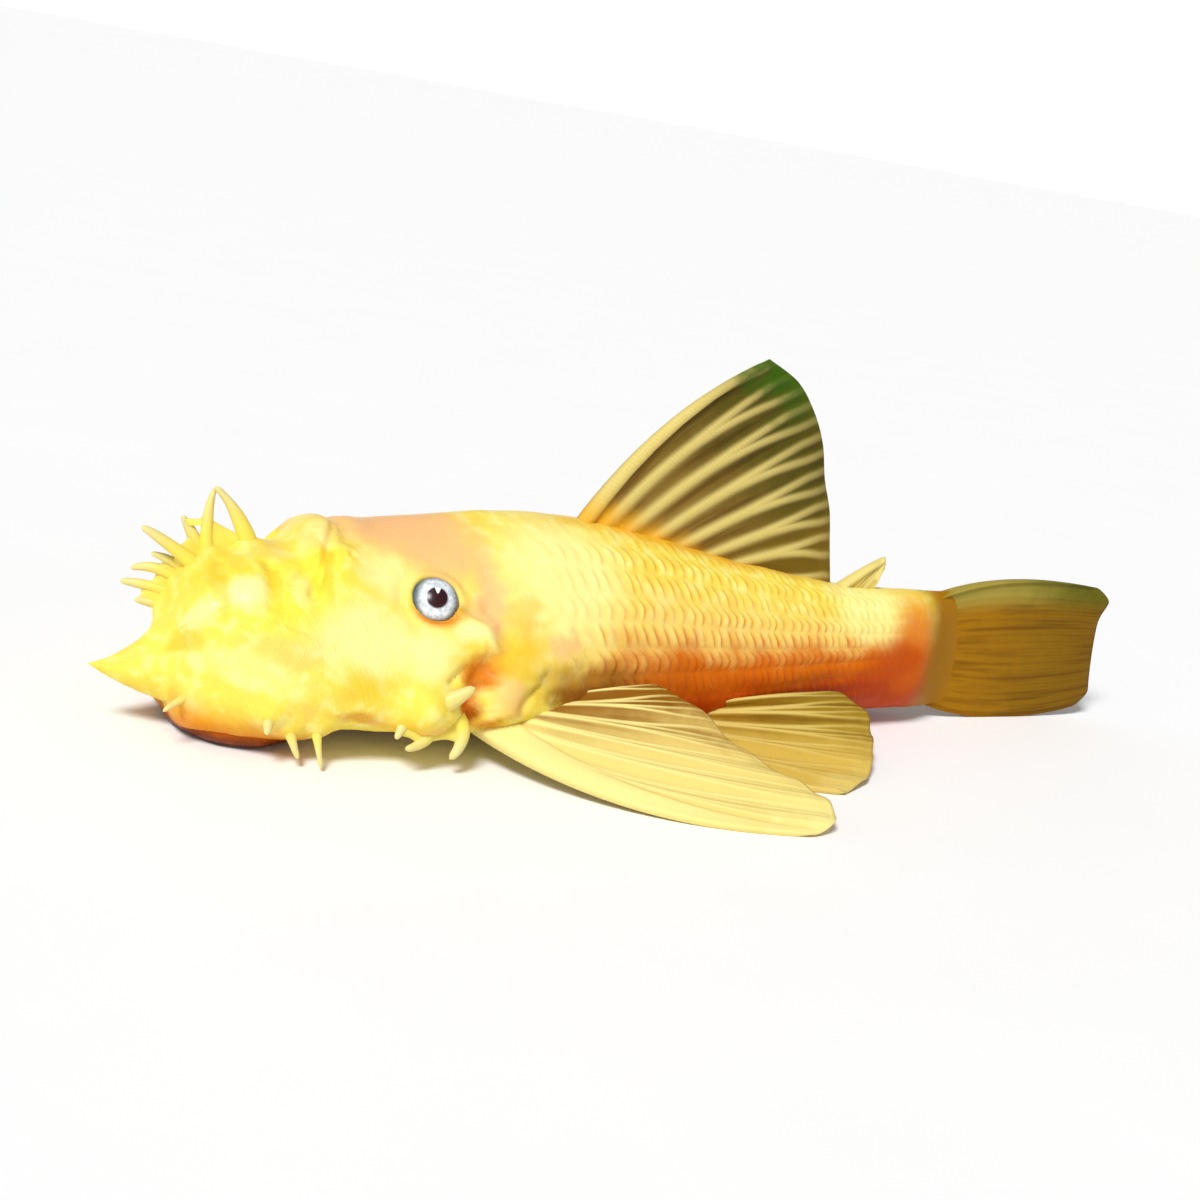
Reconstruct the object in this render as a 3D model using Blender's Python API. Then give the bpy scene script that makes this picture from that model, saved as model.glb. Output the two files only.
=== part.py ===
"""A bristlenose pleco (an albino male) resting on its mouth and fins.

The fish heads along -Y with its left side on +X and the floor at Z = 0.
Places and sizes are shares of the standard length, snout tip to tail-fin base:
'along' runs from the snout tip (0) to the tail-fin base (1), 'out' runs from
the middle plane to the fish's left, and 'up' runs from the floor. 'Around' is
-1 on the belly, 0 at the widest level and 1 on the back.
"""

import math
import random

import bmesh
import bpy
import numpy as np
from mathutils import Vector

# Driving dimensions
STANDARD_LENGTH = 0.091
GAP = 0.0003 / STANDARD_LENGTH
MIDDLE_ALONG = 0.5990
SEED = 57

# Body stations: along, half width, back height, belly height, height of the
# widest level, roundness of the flank above it, roundness below it
BODY_STATIONS = (
    (0.000, 0.134, 0.168, 0.017, 0.084, 2.25, 2.4),
    (0.050, 0.136, 0.179, 0.015, 0.080, 2.20, 2.4),
    (0.095, 0.138, 0.187, 0.014, 0.074, 2.10, 2.4),
    (0.124, 0.139, 0.190, 0.013, 0.072, 2.05, 2.4),
    (0.145, 0.140, 0.219, 0.012, 0.068, 1.87, 2.4),
    (0.165, 0.142, 0.223, 0.011, 0.066, 1.79, 2.3),
    (0.205, 0.145, 0.221, 0.009, 0.064, 1.65, 2.3),
    (0.260, 0.149, 0.226, 0.007, 0.064, 1.58, 2.2),
    (0.320, 0.148, 0.233, 0.006, 0.064, 1.62, 2.2),
    (0.380, 0.140, 0.236, 0.005, 0.064, 1.68, 2.4),
    (0.455, 0.125, 0.232, 0.005, 0.066, 1.72, 2.6),
    (0.550, 0.107, 0.217, 0.006, 0.068, 1.80, 2.8),
    (0.650, 0.090, 0.196, 0.010, 0.070, 1.85, 2.8),
    (0.750, 0.073, 0.179, 0.014, 0.074, 1.95, 2.6),
    (0.850, 0.058, 0.166, 0.015, 0.078, 2.10, 2.4),
    (0.930, 0.047, 0.163, 0.016, 0.082, 2.20, 2.4),
    (1.000, 0.036, 0.164, 0.016, 0.086, 2.30, 2.4),
)

# Snout: where it starts and how far back its rounding reaches
SNOUT_START = 0.006
SNOUT_PLAN = 0.150
SNOUT_TOP = 0.050
SNOUT_UNDER = 0.024
SNOUT_AXIS = 0.080
SNOUT_POWER = 2.3

# Where the body is parted
HEAD_END_LOW = 0.288
HEAD_END_HIGH = 0.350
TRUNK_START = HEAD_END_LOW - 0.060
TRUNK_END = 0.715
TAIL_END = 0.992
OVERRUN = 0.012

# Bony plates in columns and rows
PLATE_START = 0.375
PLATE_COUNT = 24
PLATE_PITCH = (TAIL_END - PLATE_START) / PLATE_COUNT
PLATE_RISE = 0.0042
PLATE_SEAM_SHARE = 0.35
PLATE_BULGE = 0.34
PLATE_STEP = 0.10
ROW_EDGES = (-0.50, 0.0, 0.25, 0.50, 0.75, 1.0)
HEAD_RINGS = 18
CREST_RINGS = (0.113, 0.136)

# Mouth disc, its hollow underside and the slit of the mouth
MOUTH_ALONG = 0.088
MOUTH_HALF_LENGTH = 0.071
MOUTH_HALF_WIDTH = 0.084
MOUTH_TOP = 0.0260
LIP_PROFILE = ((0.93, 1.0), (1.0, 0.62), (0.985, 0.30), (0.93, 0.07), (0.86, 0.0),
               (0.60, 0.0), (0.53, 0.14), (0.38, 0.25), (0.20, 0.30))
LIP_SIDES = 32
SLIT_HALF_LENGTH = 0.0075
SLIT_HALF_WIDTH = 0.030
SLIT_DEPTH = 0.0175

# Eyes: flattened balls in sockets, aimed out, up and a little forward
EYE_ALONG = 0.249
EYE_OUT = 0.0955
EYE_UP = 0.1630
EYE_RADIUS = 0.0245
EYE_DEPTH = 0.0160
EYE_AIM = Vector((0.76, -0.14, 0.63)).normalized()
EYE_RIM = 0.0066
EYE_RIM_LIFT = 0.0020

# Nostrils: a small raised ring round a pit
NOSTRIL_ALONG = 0.168
NOSTRIL_AROUND = 0.70
NOSTRIL_RADIUS = 0.0090
NOSTRIL_RIM = 0.0042
NOSTRIL_PIT = 0.0060

# Bristles of the middle crest and the upper snout, as the left side shows them:
# along, around and side of the root, then ahead, out and up to the tip, the root's
# half thickness and how fast it narrows
CREST_BRISTLES = (
    (0.086, 0.97, -1, 0.036, -0.018, 0.057, 0.0105, 1.1),
    (0.052, 0.94, -1, -0.012, -0.020, 0.058, 0.0150, 1.9),
    (0.046, 0.86, -1, 0.004, -0.014, 0.041, 0.0120, 1.6),
    (0.042, 0.86, -1, 0.016, -0.013, 0.040, 0.0100, 1.3),
    (0.032, 0.95, -1, 0.051, -0.016, 0.035, 0.0095, 1.1),
    (0.026, 0.87, -1, 0.022, -0.014, 0.018, 0.0090, 1.2),
    (0.020, 0.74, -1, 0.034, -0.020, 0.014, 0.0085, 1.1),
    (0.016, 0.64, -1, 0.040, -0.021, 0.008, 0.0085, 1.1),
    (0.012, 0.50, -1, 0.022, -0.013, 0.004, 0.0090, 0.9),
)
# Bristles of the snout's lower margin, on both sides
MARGIN_BRISTLES = (
    (0.026, -0.33, 1, 0.037, 0.003, -0.014, 0.0085, 1.0),
    (0.074, -0.16, 1, 0.006, 0.012, -0.027, 0.0080, 1.0),
    (0.103, -0.25, 1, -0.006, 0.012, -0.024, 0.0085, 1.0),
    (0.130, -0.22, 1, -0.001, 0.016, -0.030, 0.0085, 1.1),
)
# Hooked spines of the cheek, on both sides
CHEEK_SPINES = (
    (0.244, 0.02, 1, -0.026, 0.024, 0.031, 0.0125, 1.0),
    (0.276, -0.05, 1, 0.014, 0.018, -0.035, 0.0120, 1.1),
    (0.248, -0.15, 1, 0.030, 0.010, -0.019, 0.0100, 1.0),
    (0.236, -0.08, 1, 0.026, 0.014, -0.010, 0.0075, 1.0),
)
CHEEK_HOOK = 0.010
BRISTLE_SIDES = 6
BRISTLE_RINGS = 4
BRISTLE_BLUNT = 0.24
BRISTLE_SINK = 0.009
BRISTLE_LEAN = 0.16
FAR_SIDE_CHANGE = 0.18

# The fleshy flap at the front of the snout
FLAP_ROOT_ALONG = 0.022
FLAP_ROOT_UP = 0.064
FLAP_TIP_ALONG = -0.064
FLAP_TIP_UP = 0.062
FLAP_TIP_OUT = -0.006
FLAP_SAG = 0.012
FLAP_HALF_HEIGHT = 0.044
FLAP_HALF_WIDTH = 0.034
FLAP_TAPER = 1.20

# Fins: thickness at the root, near the tip and at the edge, and the rays' height
MM = 0.001
FIN_ROOT = 0.9 * MM
FIN_TIP = 0.5 * MM
FIN_EDGE = 0.35 * MM
RAY_RIDGE = 0.25 * MM
RAY_FORK = 0.5
RIDGE_LOSS = 0.45
BRANCH_SHARE = 0.6
SCALLOP = 0.012

# Rays of the fins on the middle plane: root, middle and tip, as along and up
DORSAL_RAYS = (
    ((0.440, 0.206), (0.524, 0.356), (0.662, 0.424)),
    ((0.472, 0.206), (0.556, 0.328), (0.706, 0.402)),
    ((0.500, 0.202), (0.588, 0.302), (0.736, 0.370)),
    ((0.532, 0.198), (0.622, 0.276), (0.757, 0.334)),
    ((0.564, 0.192), (0.655, 0.250), (0.770, 0.293)),
    ((0.596, 0.184), (0.690, 0.228), (0.786, 0.256)),
    ((0.630, 0.178), (0.715, 0.206), (0.796, 0.216)),
    ((0.672, 0.168), (0.740, 0.178), (0.808, 0.170)),
)
ADIPOSE_RAYS = (
    ((0.822, 0.146), (0.860, 0.180), (0.887, 0.204)),
    ((0.848, 0.144), (0.872, 0.168), (0.890, 0.194)),
    ((0.868, 0.144), (0.874, 0.158), (0.882, 0.176)),
)
ANAL_RAYS = (
    ((0.735, 0.026), (0.752, 0.006), (0.800, 0.0045)),
    ((0.750, 0.026), (0.772, 0.010), (0.826, 0.0055)),
    ((0.766, 0.026), (0.792, 0.014), (0.838, 0.0085)),
    ((0.782, 0.026), (0.806, 0.018), (0.835, 0.0125)),
)
CAUDAL_TOP = ((0.965, 0.152), (1.070, 0.200), (1.252, 0.172))
CAUDAL_LOW = ((0.965, 0.026), (1.090, -0.024), (1.262, 0.018))
CAUDAL_RAYS = 10
CAUDAL_NOTCH = 0.006

# Rays of the left side's paired fins: root, middle and tip, as along, out and up
PECTORAL_RAYS = (
    ((0.296, 0.112, 0.036), (0.372, 0.308, 0.000), (0.588, 0.350, 0.0045)),
    ((0.303, 0.112, 0.042), (0.395, 0.272, 0.018), (0.618, 0.331, 0.0130)),
    ((0.310, 0.110, 0.049), (0.405, 0.240, 0.040), (0.628, 0.299, 0.0300)),
    ((0.317, 0.108, 0.056), (0.410, 0.212, 0.060), (0.614, 0.256, 0.0470)),
    ((0.324, 0.106, 0.063), (0.410, 0.188, 0.080), (0.584, 0.214, 0.0620)),
    ((0.331, 0.104, 0.070), (0.408, 0.168, 0.094), (0.552, 0.176, 0.0780)),
    ((0.338, 0.102, 0.077), (0.404, 0.152, 0.102), (0.522, 0.150, 0.0920)),
)
PELVIC_RAYS = (
    ((0.505, 0.052, 0.012), (0.590, 0.170, 0.001), (0.722, 0.232, 0.0040)),
    ((0.512, 0.054, 0.016), (0.606, 0.148, 0.010), (0.755, 0.204, 0.0090)),
    ((0.519, 0.056, 0.021), (0.618, 0.130, 0.020), (0.782, 0.174, 0.0170)),
    ((0.526, 0.058, 0.026), (0.626, 0.116, 0.032), (0.802, 0.142, 0.0280)),
    ((0.533, 0.060, 0.031), (0.632, 0.108, 0.044), (0.811, 0.116, 0.0420)),
    ((0.540, 0.062, 0.036), (0.636, 0.104, 0.056), (0.798, 0.100, 0.0560)),
)

# Directions
LEFTWARD = Vector((1.0, 0.0, 0.0))
TAILWARD = Vector((0.0, 1.0, 0.0))
UPWARD = Vector((0.0, 0.0, 1.0))
AXES = (LEFTWARD, TAILWARD, UPWARD)

# Colours
LEMON = (0.93, 0.80, 0.30)
GOLD = (0.90, 0.62, 0.24)
CREAM = (0.86, 0.76, 0.36)
OLIVE = (0.62, 0.50, 0.14)
LIP_ORANGE = (0.72, 0.36, 0.12)
EYE_SILVER = (0.82, 0.86, 0.90)


def place(along, out, up):
    """Point in metres of a place given in shares of the standard length."""
    size = STANDARD_LENGTH
    return Vector((out * size, (along - MIDDLE_ALONG) * size, up * size))


def station_curve(column):
    """Smooth curve through one column of the body stations, with no overshoot."""
    x = np.array([row[0] for row in BODY_STATIONS])
    y = np.array([row[column] for row in BODY_STATIONS])
    step = np.diff(x)
    slope = np.diff(y) / step
    tangent = np.zeros_like(y)
    for i in range(1, len(x) - 1):
        if slope[i - 1] * slope[i] > 0.0:
            tangent[i] = 2.0 * slope[i - 1] * slope[i] / (slope[i - 1] + slope[i])

    def value(along):
        a = min(max(along, x[0]), x[-1])
        i = int(min(np.searchsorted(x, a, side="right") - 1, len(step) - 1))
        f = (a - x[i]) / step[i]
        rise = y[i + 1] - y[i]
        lean = (tangent[i] * step[i] - rise) * (1 - f) - (tangent[i + 1] * step[i] - rise) * f
        return float(y[i] + rise * f + f * (1 - f) * lean)

    return value


HALF_WIDTH, BACK, BELLY, WIDEST, ROUND_ABOVE, ROUND_BELOW = (
    station_curve(column) for column in range(1, 7))


def nose(along, depth):
    """Share of its full size that the snout has reached at a place along it."""
    left = min(1.0, max(0.0, 1.0 - (along - SNOUT_START) / depth))
    return math.sqrt(1.0 - left ** SNOUT_POWER)


def quarter(wide, high, roundness, share):
    """Point on a quarter superellipse, an even share of its length from the side."""
    angle = np.linspace(0.0, math.pi / 2, 41)
    x = wide * np.cos(angle) ** (2.0 / roundness)
    z = high * np.sin(angle) ** (2.0 / roundness)
    x[-1] = 0.0
    run = np.concatenate(([0.0], np.cumsum(np.hypot(np.diff(x), np.diff(z)))))
    return (float(np.interp(share * run[-1], run, x)),
            float(np.interp(share * run[-1], run, z)))


def body_point(along, around, rise=0.0):
    """Out and up of the body's skin, which rise lifts outward."""
    wide = HALF_WIDTH(along) * nose(along, SNOUT_PLAN)
    top = SNOUT_AXIS + (BACK(along) - SNOUT_AXIS) * nose(along, SNOUT_TOP)
    low = SNOUT_AXIS + (BELLY(along) - SNOUT_AXIS) * nose(along, SNOUT_UNDER)
    level = SNOUT_AXIS + (WIDEST(along) - SNOUT_AXIS) * nose(along, SNOUT_TOP)
    if around >= 0.0:
        out, up = quarter(wide + rise, top - level + rise, ROUND_ABOVE(along), around)
        return out, level + up
    out, up = quarter(wide + rise, level - low + rise, ROUND_BELOW(along), -around)
    return out, level - up


def skin_place(along, around, side):
    """Point in metres on the body's skin."""
    out, up = body_point(along, around)
    return place(along, side * out, up)


def skin_normal(along, around, side):
    """Direction out of the body's skin."""
    step = 0.004
    low = skin_place(along, around - step, side)
    high = skin_place(along, around + step, side)
    front = skin_place(along - step, around, side)
    rear = skin_place(along + step, around, side)
    return ((rear - front).cross(high - low) * side).normalized()


def new_object(name, mesh):
    thing = bpy.data.objects.new(name, mesh)
    bpy.context.scene.collection.objects.link(thing)
    return thing


def mesh_object(name, points, faces):
    """Closed mesh object from points in metres, with its faces turned out."""
    mesh = bpy.data.meshes.new(name)
    mesh.from_pydata([tuple(p) for p in points], [], faces)
    shape = bmesh.new()
    shape.from_mesh(mesh)
    bmesh.ops.recalc_face_normals(shape, faces=shape.faces)
    if shape.calc_volume(signed=True) < 0.0:
        bmesh.ops.reverse_faces(shape, faces=shape.faces)
    shape.to_mesh(mesh)
    shape.free()
    return new_object(name, mesh)


def tube_faces(rings, sides):
    """Faces of a closed tube of rings, with a fan to a point at each end."""
    faces = []
    first = rings * sides
    last = first + 1
    for j in range(sides):
        k = (j + 1) % sides
        for i in range(rings - 1):
            near = i * sides
            far = near + sides
            faces.append((near + j, near + k, far + k, far + j))
        faces.append((first, k, j))
        faces.append((last, (rings - 1) * sides + j, (rings - 1) * sides + k))
    return faces


def body_loft(name, stops, grid):
    """Closed loft of body rings: a stop gives a ring's along and rise at each around."""
    points = []
    for stop in stops:
        for side in (1, -1):
            ring = grid if side > 0 else grid[-2:0:-1]
            for around in ring:
                along, rise = stop(around)
                out, up = body_point(along, around, rise)
                points.append(place(along, side * out, up))
    first, last = (stops[i](0.0)[0] for i in (0, -1))
    points.append(place(first, 0.0, SNOUT_AXIS))
    points.append(place(last, 0.0, SNOUT_AXIS))
    return mesh_object(name, points, tube_faces(len(stops), 2 * len(grid) - 2))


def plate_swell(around):
    """Share of a plate's bulge: 0 at the seams of its row and 1 in the middle."""
    for low, high in zip(ROW_EDGES, ROW_EDGES[1:]):
        if low <= around <= high:
            share = (around - low) / (high - low)
            return 4.0 * share * (1.0 - share)
    return 0.0


def plate_rise(around):
    """Height of a plate's rear edge, least at the seams and none on the belly."""
    if around < ROW_EDGES[0]:
        return 0.0
    return PLATE_RISE * (PLATE_SEAM_SHARE + (1.0 - PLATE_SEAM_SHARE) * plate_swell(around))


def plate_stops(grow):
    """Two rings for each column of plates: its raised edge and the step behind."""
    stops = []
    for number in range(PLATE_COUNT):
        edge = PLATE_START + PLATE_PITCH * number
        behind = edge + PLATE_STEP * PLATE_PITCH

        def raised(around, edge=edge):
            bulge = PLATE_BULGE * PLATE_PITCH * plate_swell(around)
            return edge + bulge, grow + plate_rise(around)

        def sunk(around, behind=behind):
            bulge = PLATE_BULGE * PLATE_PITCH * plate_swell(around)
            return behind + bulge, grow

        stops.extend((raised, sunk))
    return stops


def smooth_stops(places, grow):
    return [lambda around, along=along: (along, grow) for along in places]


def split_grid(grid):
    """The same places around the body with one more between each two."""
    middles = [0.5 * (low + high) for low, high in zip(grid, grid[1:])]
    return sorted(grid + middles)


PLATE_GRID = split_grid([-1.0, *ROW_EDGES])
HEAD_GRID = split_grid(PLATE_GRID)


def head_loft(name, grow, grid):
    """Head and snout, with rings closer together towards the snout tip."""
    end = HEAD_END_HIGH + 0.03 - SNOUT_START
    places = [SNOUT_START + end * (1.0 - math.cos(0.5 * math.pi * (i + 0.35) / HEAD_RINGS))
              for i in range(HEAD_RINGS)]
    places = sorted(places + list(CREST_RINGS))
    return body_loft(name, smooth_stops(places, grow), grid)


def plated_loft(name, grow=0.0):
    """Trunk and tail in one, from a place inside the head."""
    lead = PLATE_START - OVERRUN - TRUNK_START
    places = [TRUNK_START + lead * share for share in (0.0, 0.34, 0.67, 1.0)]
    stops = smooth_stops(places, grow) + plate_stops(grow)
    stops += smooth_stops([TAIL_END + OVERRUN], grow)
    return body_loft(name, stops, PLATE_GRID)


def cut_flat(thing, point, normal):
    """Cut away what lies beyond a plane and close the cut."""
    shape = bmesh.new()
    shape.from_mesh(thing.data)
    everything = shape.verts[:] + shape.edges[:] + shape.faces[:]
    bmesh.ops.bisect_plane(shape, geom=everything, dist=1e-7, plane_co=point,
                           plane_no=normal, clear_outer=True)
    rim = [edge for edge in shape.edges if edge.is_boundary]
    bmesh.ops.holes_fill(shape, edges=rim, sides=0)
    bmesh.ops.recalc_face_normals(shape, faces=shape.faces)
    shape.to_mesh(thing.data)
    shape.free()


def combine(base, pieces, operation, solver="EXACT"):
    """Join pieces to a solid, or cut them out of it, and apply the result."""
    group = bpy.data.collections.new("pieces")
    for piece in pieces:
        group.objects.link(piece)
    step = base.modifiers.new("combine", "BOOLEAN")
    step.operation = operation
    step.operand_type = "COLLECTION"
    step.collection = group
    step.solver = solver
    view = bpy.context.evaluated_depsgraph_get()
    base.data = bpy.data.meshes.new_from_object(base.evaluated_get(view))
    base.modifiers.clear()
    for piece in pieces:
        bpy.data.objects.remove(piece)
    bpy.data.collections.remove(group)


def closed_surfaces(shape):
    """Groups of faces that hang together."""
    left = set(shape.faces)
    groups = []
    while left:
        group = {left.pop()}
        front = list(group)
        while front:
            for edge in front.pop().edges:
                fresh = [face for face in edge.link_faces if face in left]
                left.difference_update(fresh)
                group.update(fresh)
                front.extend(fresh)
        groups.append(group)
    return groups


def keep_largest(thing):
    """Keep only the largest closed surface of a solid, in triangles."""
    shape = bmesh.new()
    shape.from_mesh(thing.data)
    bmesh.ops.triangulate(shape, faces=shape.faces)
    bmesh.ops.remove_doubles(shape, verts=shape.verts, dist=2e-6)
    bmesh.ops.dissolve_degenerate(shape, edges=shape.edges, dist=2e-6)
    bmesh.ops.triangulate(shape, faces=shape.faces)
    groups = closed_surfaces(shape)
    largest = max(groups, key=lambda group: sum(face.calc_area() for face in group))
    scraps = [face for face in shape.faces if face not in largest]
    bmesh.ops.delete(shape, geom=scraps, context="FACES")
    shape.to_mesh(thing.data)
    shape.free()


def mirror_node(thing, name):
    """The same solid on the fish's other side, with its faces still turned out."""
    twin = new_object(name, thing.data.copy())
    shape = bmesh.new()
    shape.from_mesh(twin.data)
    for vertex in shape.verts:
        vertex.co.x = -vertex.co.x
    bmesh.ops.reverse_faces(shape, faces=shape.faces)
    shape.to_mesh(twin.data)
    shape.free()
    return twin


def finish_node(thing, colour, roughness):
    """Give a node its own material and smooth its round faces."""
    material = bpy.data.materials.new(thing.name + "_finish")
    material.use_nodes = True
    shader = material.node_tree.nodes["Principled BSDF"]
    shader.inputs["Base Color"].default_value = (*colour, 1.0)
    shader.inputs["Roughness"].default_value = roughness
    shader.inputs["Metallic"].default_value = 0.0
    thing.data.materials.clear()
    thing.data.materials.append(material)
    thing.data.shade_smooth()
    thing.data.set_sharp_from_angle(angle=math.radians(30.0))


def aimed_axes(aim):
    """Two axes across an aim, and the aim itself."""
    across = aim.cross(UPWARD).normalized()
    return across, aim.cross(across).normalized(), aim


def ellipsoid(name, centre, radii, axes, rings, sides):
    """Closed ellipsoid with one radius along each axis."""
    points = []
    for i in range(1, rings):
        tip = math.pi * i / rings
        for j in range(sides):
            turn = 2 * math.pi * j / sides
            points.append(centre + axes[0] * (radii[0] * math.sin(tip) * math.cos(turn))
                          + axes[1] * (radii[1] * math.sin(tip) * math.sin(turn))
                          + axes[2] * (radii[2] * math.cos(tip)))
    points.append(centre + axes[2] * radii[2])
    points.append(centre - axes[2] * radii[2])
    return mesh_object(name, points, tube_faces(rings - 1, sides))


def ring_rim(name, centre, axes, radius, thick, sides, section=6):
    """Closed round ring across the last axis."""
    points = []
    faces = []
    for i in range(sides):
        turn = 2 * math.pi * i / sides
        outward = axes[0] * math.cos(turn) + axes[1] * math.sin(turn)
        for j in range(section):
            roll = 2 * math.pi * j / section
            reach = radius + thick * math.cos(roll)
            points.append(centre + outward * reach + axes[2] * (thick * math.sin(roll)))
            near = i * section + j
            near_next = i * section + (j + 1) % section
            far = ((i + 1) % sides) * section
            faces.append((near, near_next, far + (j + 1) % section, far + j))
    return mesh_object(name, points, faces)


def bend(start, middle, end, share):
    """Point on a curve that leans towards its middle point."""
    back = 1.0 - share
    return start * (back * back) + middle * (2 * back * share) + end * (share * share)


def tapered_spike(name, root, middle, tip, width, height, taper, sides=BRISTLE_SIDES,
                  rings=BRISTLE_RINGS, blunt=BRISTLE_BLUNT):
    """Closed spike that narrows along its curve to a small round tip."""
    points = []
    aim = (tip - root).normalized()
    steady = UPWARD if abs(aim.z) < 0.75 else TAILWARD
    for i in range(rings):
        share = i / (rings - 0.5)
        here = bend(root, middle, tip, share)
        aim = (bend(root, middle, tip, share + 0.05) - here).normalized()
        across = aim.cross(steady).normalized()
        over = across.cross(aim).normalized()
        size = blunt + (1.0 - blunt) * (1.0 - share) ** taper
        for j in range(sides):
            turn = 2 * math.pi * (j + 0.5) / sides
            points.append(here + across * (width * size * math.cos(turn))
                          + over * (height * size * math.sin(turn)))
    points.append(root)
    points.append(tip)
    return mesh_object(name, points, tube_faces(rings, sides))


def bristle(row, hook=0.0):
    """A fleshy bristle or spine rooted in the skin, curved across its length."""
    along, around, side, ahead, out, up, girth, taper = row
    skin = skin_place(along, around, side)
    reach = Vector((out, -ahead, up)) * STANDARD_LENGTH
    normal = skin_normal(along, around, side)
    root = skin - (reach.normalized() + normal) * (BRISTLE_SINK * STANDARD_LENGTH)
    tip = skin + reach
    lean = normal * (BRISTLE_LEAN * reach.length)
    middle = (root + tip) * 0.5 + lean + UPWARD * (hook * STANDARD_LENGTH)
    size = girth * STANDARD_LENGTH
    return tapered_spike("bristle", root, middle, tip, size, size, taper)


def far_side(row, draw):
    """The matching bristle of the right side, a little different in length."""
    along, around, side, ahead, out, up, girth, taper = row
    change = 1.0 + FAR_SIDE_CHANGE * (2.0 * draw.random() - 1.0)
    shift = 0.006 * (2.0 * draw.random() - 1.0)
    return (along + shift, around, -side, ahead * change, -out * change, up * change,
            girth, taper)


def snout_flap():
    """Broad pointed flap of skin at the front of the snout."""
    size = STANDARD_LENGTH
    root = place(FLAP_ROOT_ALONG, 0.0, FLAP_ROOT_UP)
    tip = place(FLAP_TIP_ALONG, FLAP_TIP_OUT, FLAP_TIP_UP)
    middle = (root + tip) * 0.5 - UPWARD * (FLAP_SAG * size)
    return tapered_spike("flap", root, middle, tip, FLAP_HALF_WIDTH * size,
                         FLAP_HALF_HEIGHT * size, FLAP_TAPER, sides=10, rings=6, blunt=0.05)


def head_growths():
    """Flap, bristles and cheek spines of the whole head."""
    draw = random.Random(SEED)
    pieces = [snout_flap()]
    pieces += [bristle(row) for row in CREST_BRISTLES]
    for row in MARGIN_BRISTLES:
        pieces += [bristle(row), bristle(far_side(row, draw))]
    for number, row in enumerate(CHEEK_SPINES):
        hook = CHEEK_HOOK * (-1.0 if number == 0 else 1.0)
        pieces += [bristle(row, hook), bristle(far_side(row, draw), hook)]
    return pieces


def eye_axes(side):
    """Centre and axes of the eye on one side."""
    aim = Vector((side * EYE_AIM.x, EYE_AIM.y, EYE_AIM.z))
    return place(EYE_ALONG, side * EYE_OUT, EYE_UP), aimed_axes(aim)


def eyeball(name, side, grow=0.0):
    """Eyeball, or with some growth the cutter for its socket."""
    centre, axes = eye_axes(side)
    wide = (EYE_RADIUS + grow) * STANDARD_LENGTH
    deep = (EYE_DEPTH + grow) * STANDARD_LENGTH
    return ellipsoid(name, centre, (wide, wide, deep), axes, 10, 20)


def eye_rim(side):
    """Raised ring of skin round an eye."""
    centre, axes = eye_axes(side)
    centre = centre + axes[2] * (EYE_RIM_LIFT * STANDARD_LENGTH)
    radius = (EYE_RADIUS + 0.4 * EYE_RIM) * STANDARD_LENGTH
    return ring_rim("eye_rim", centre, axes, radius, EYE_RIM * STANDARD_LENGTH, 20)


def nostril(side):
    """Raised ring and the cutter for the pit of one nostril."""
    size = STANDARD_LENGTH
    centre = skin_place(NOSTRIL_ALONG, NOSTRIL_AROUND, side)
    axes = aimed_axes(skin_normal(NOSTRIL_ALONG, NOSTRIL_AROUND, side))
    ring = ring_rim("nostril_rim", centre, axes, NOSTRIL_RADIUS * size,
                    NOSTRIL_RIM * size, 10)
    pit_size = NOSTRIL_PIT * size
    pit = ellipsoid("nostril_pit", centre, (pit_size, pit_size, 1.4 * pit_size), axes, 6, 8)
    return ring, pit


def mouth_disc(name, grow=0.0):
    """Oval disc with a hollow underside, or with some growth the cutter for its seat."""
    top = MOUTH_TOP - GAP + grow
    points = []
    for share, level in LIP_PROFILE:
        for j in range(LIP_SIDES):
            turn = 2 * math.pi * j / LIP_SIDES
            ahead = MOUTH_HALF_LENGTH * share + grow
            aside = MOUTH_HALF_WIDTH * share + grow
            points.append(place(MOUTH_ALONG - ahead * math.cos(turn),
                                aside * math.sin(turn), (top + grow) * level - grow))
    points.append(place(MOUTH_ALONG, 0.0, top))
    points.append(place(MOUTH_ALONG, 0.0, (top + grow) * LIP_PROFILE[-1][1] - grow))
    return mesh_object(name, points, tube_faces(len(LIP_PROFILE), LIP_SIDES))


def make_mouth():
    """Sucker mouth: flat lips round a shallow hollow with the mouth slit in it."""
    mouth = mouth_disc("mouth")
    size = Vector((SLIT_HALF_WIDTH, SLIT_HALF_LENGTH, SLIT_DEPTH)) * STANDARD_LENGTH
    slit = ellipsoid("slit", place(MOUTH_ALONG, 0.0, 0.0), size, AXES, 8, 12)
    combine(mouth, [slit], "DIFFERENCE")
    keep_largest(mouth)
    finish_node(mouth, LIP_ORANGE, 0.4)


def make_eyes():
    for side, hand in ((1, "left"), (-1, "right")):
        eye = eyeball("eye_" + hand, side)
        keep_largest(eye)
        finish_node(eye, EYE_SILVER, 0.12)


def parting_cut():
    """Point and tail-ward direction of the slanted cut behind the head."""
    low = place(HEAD_END_LOW, 0.0, 0.0)
    slant = place(HEAD_END_HIGH, 0.0, BACK(HEAD_END_HIGH)) - low
    return low, Vector((0.0, slant.z, -slant.y)).normalized()


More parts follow.
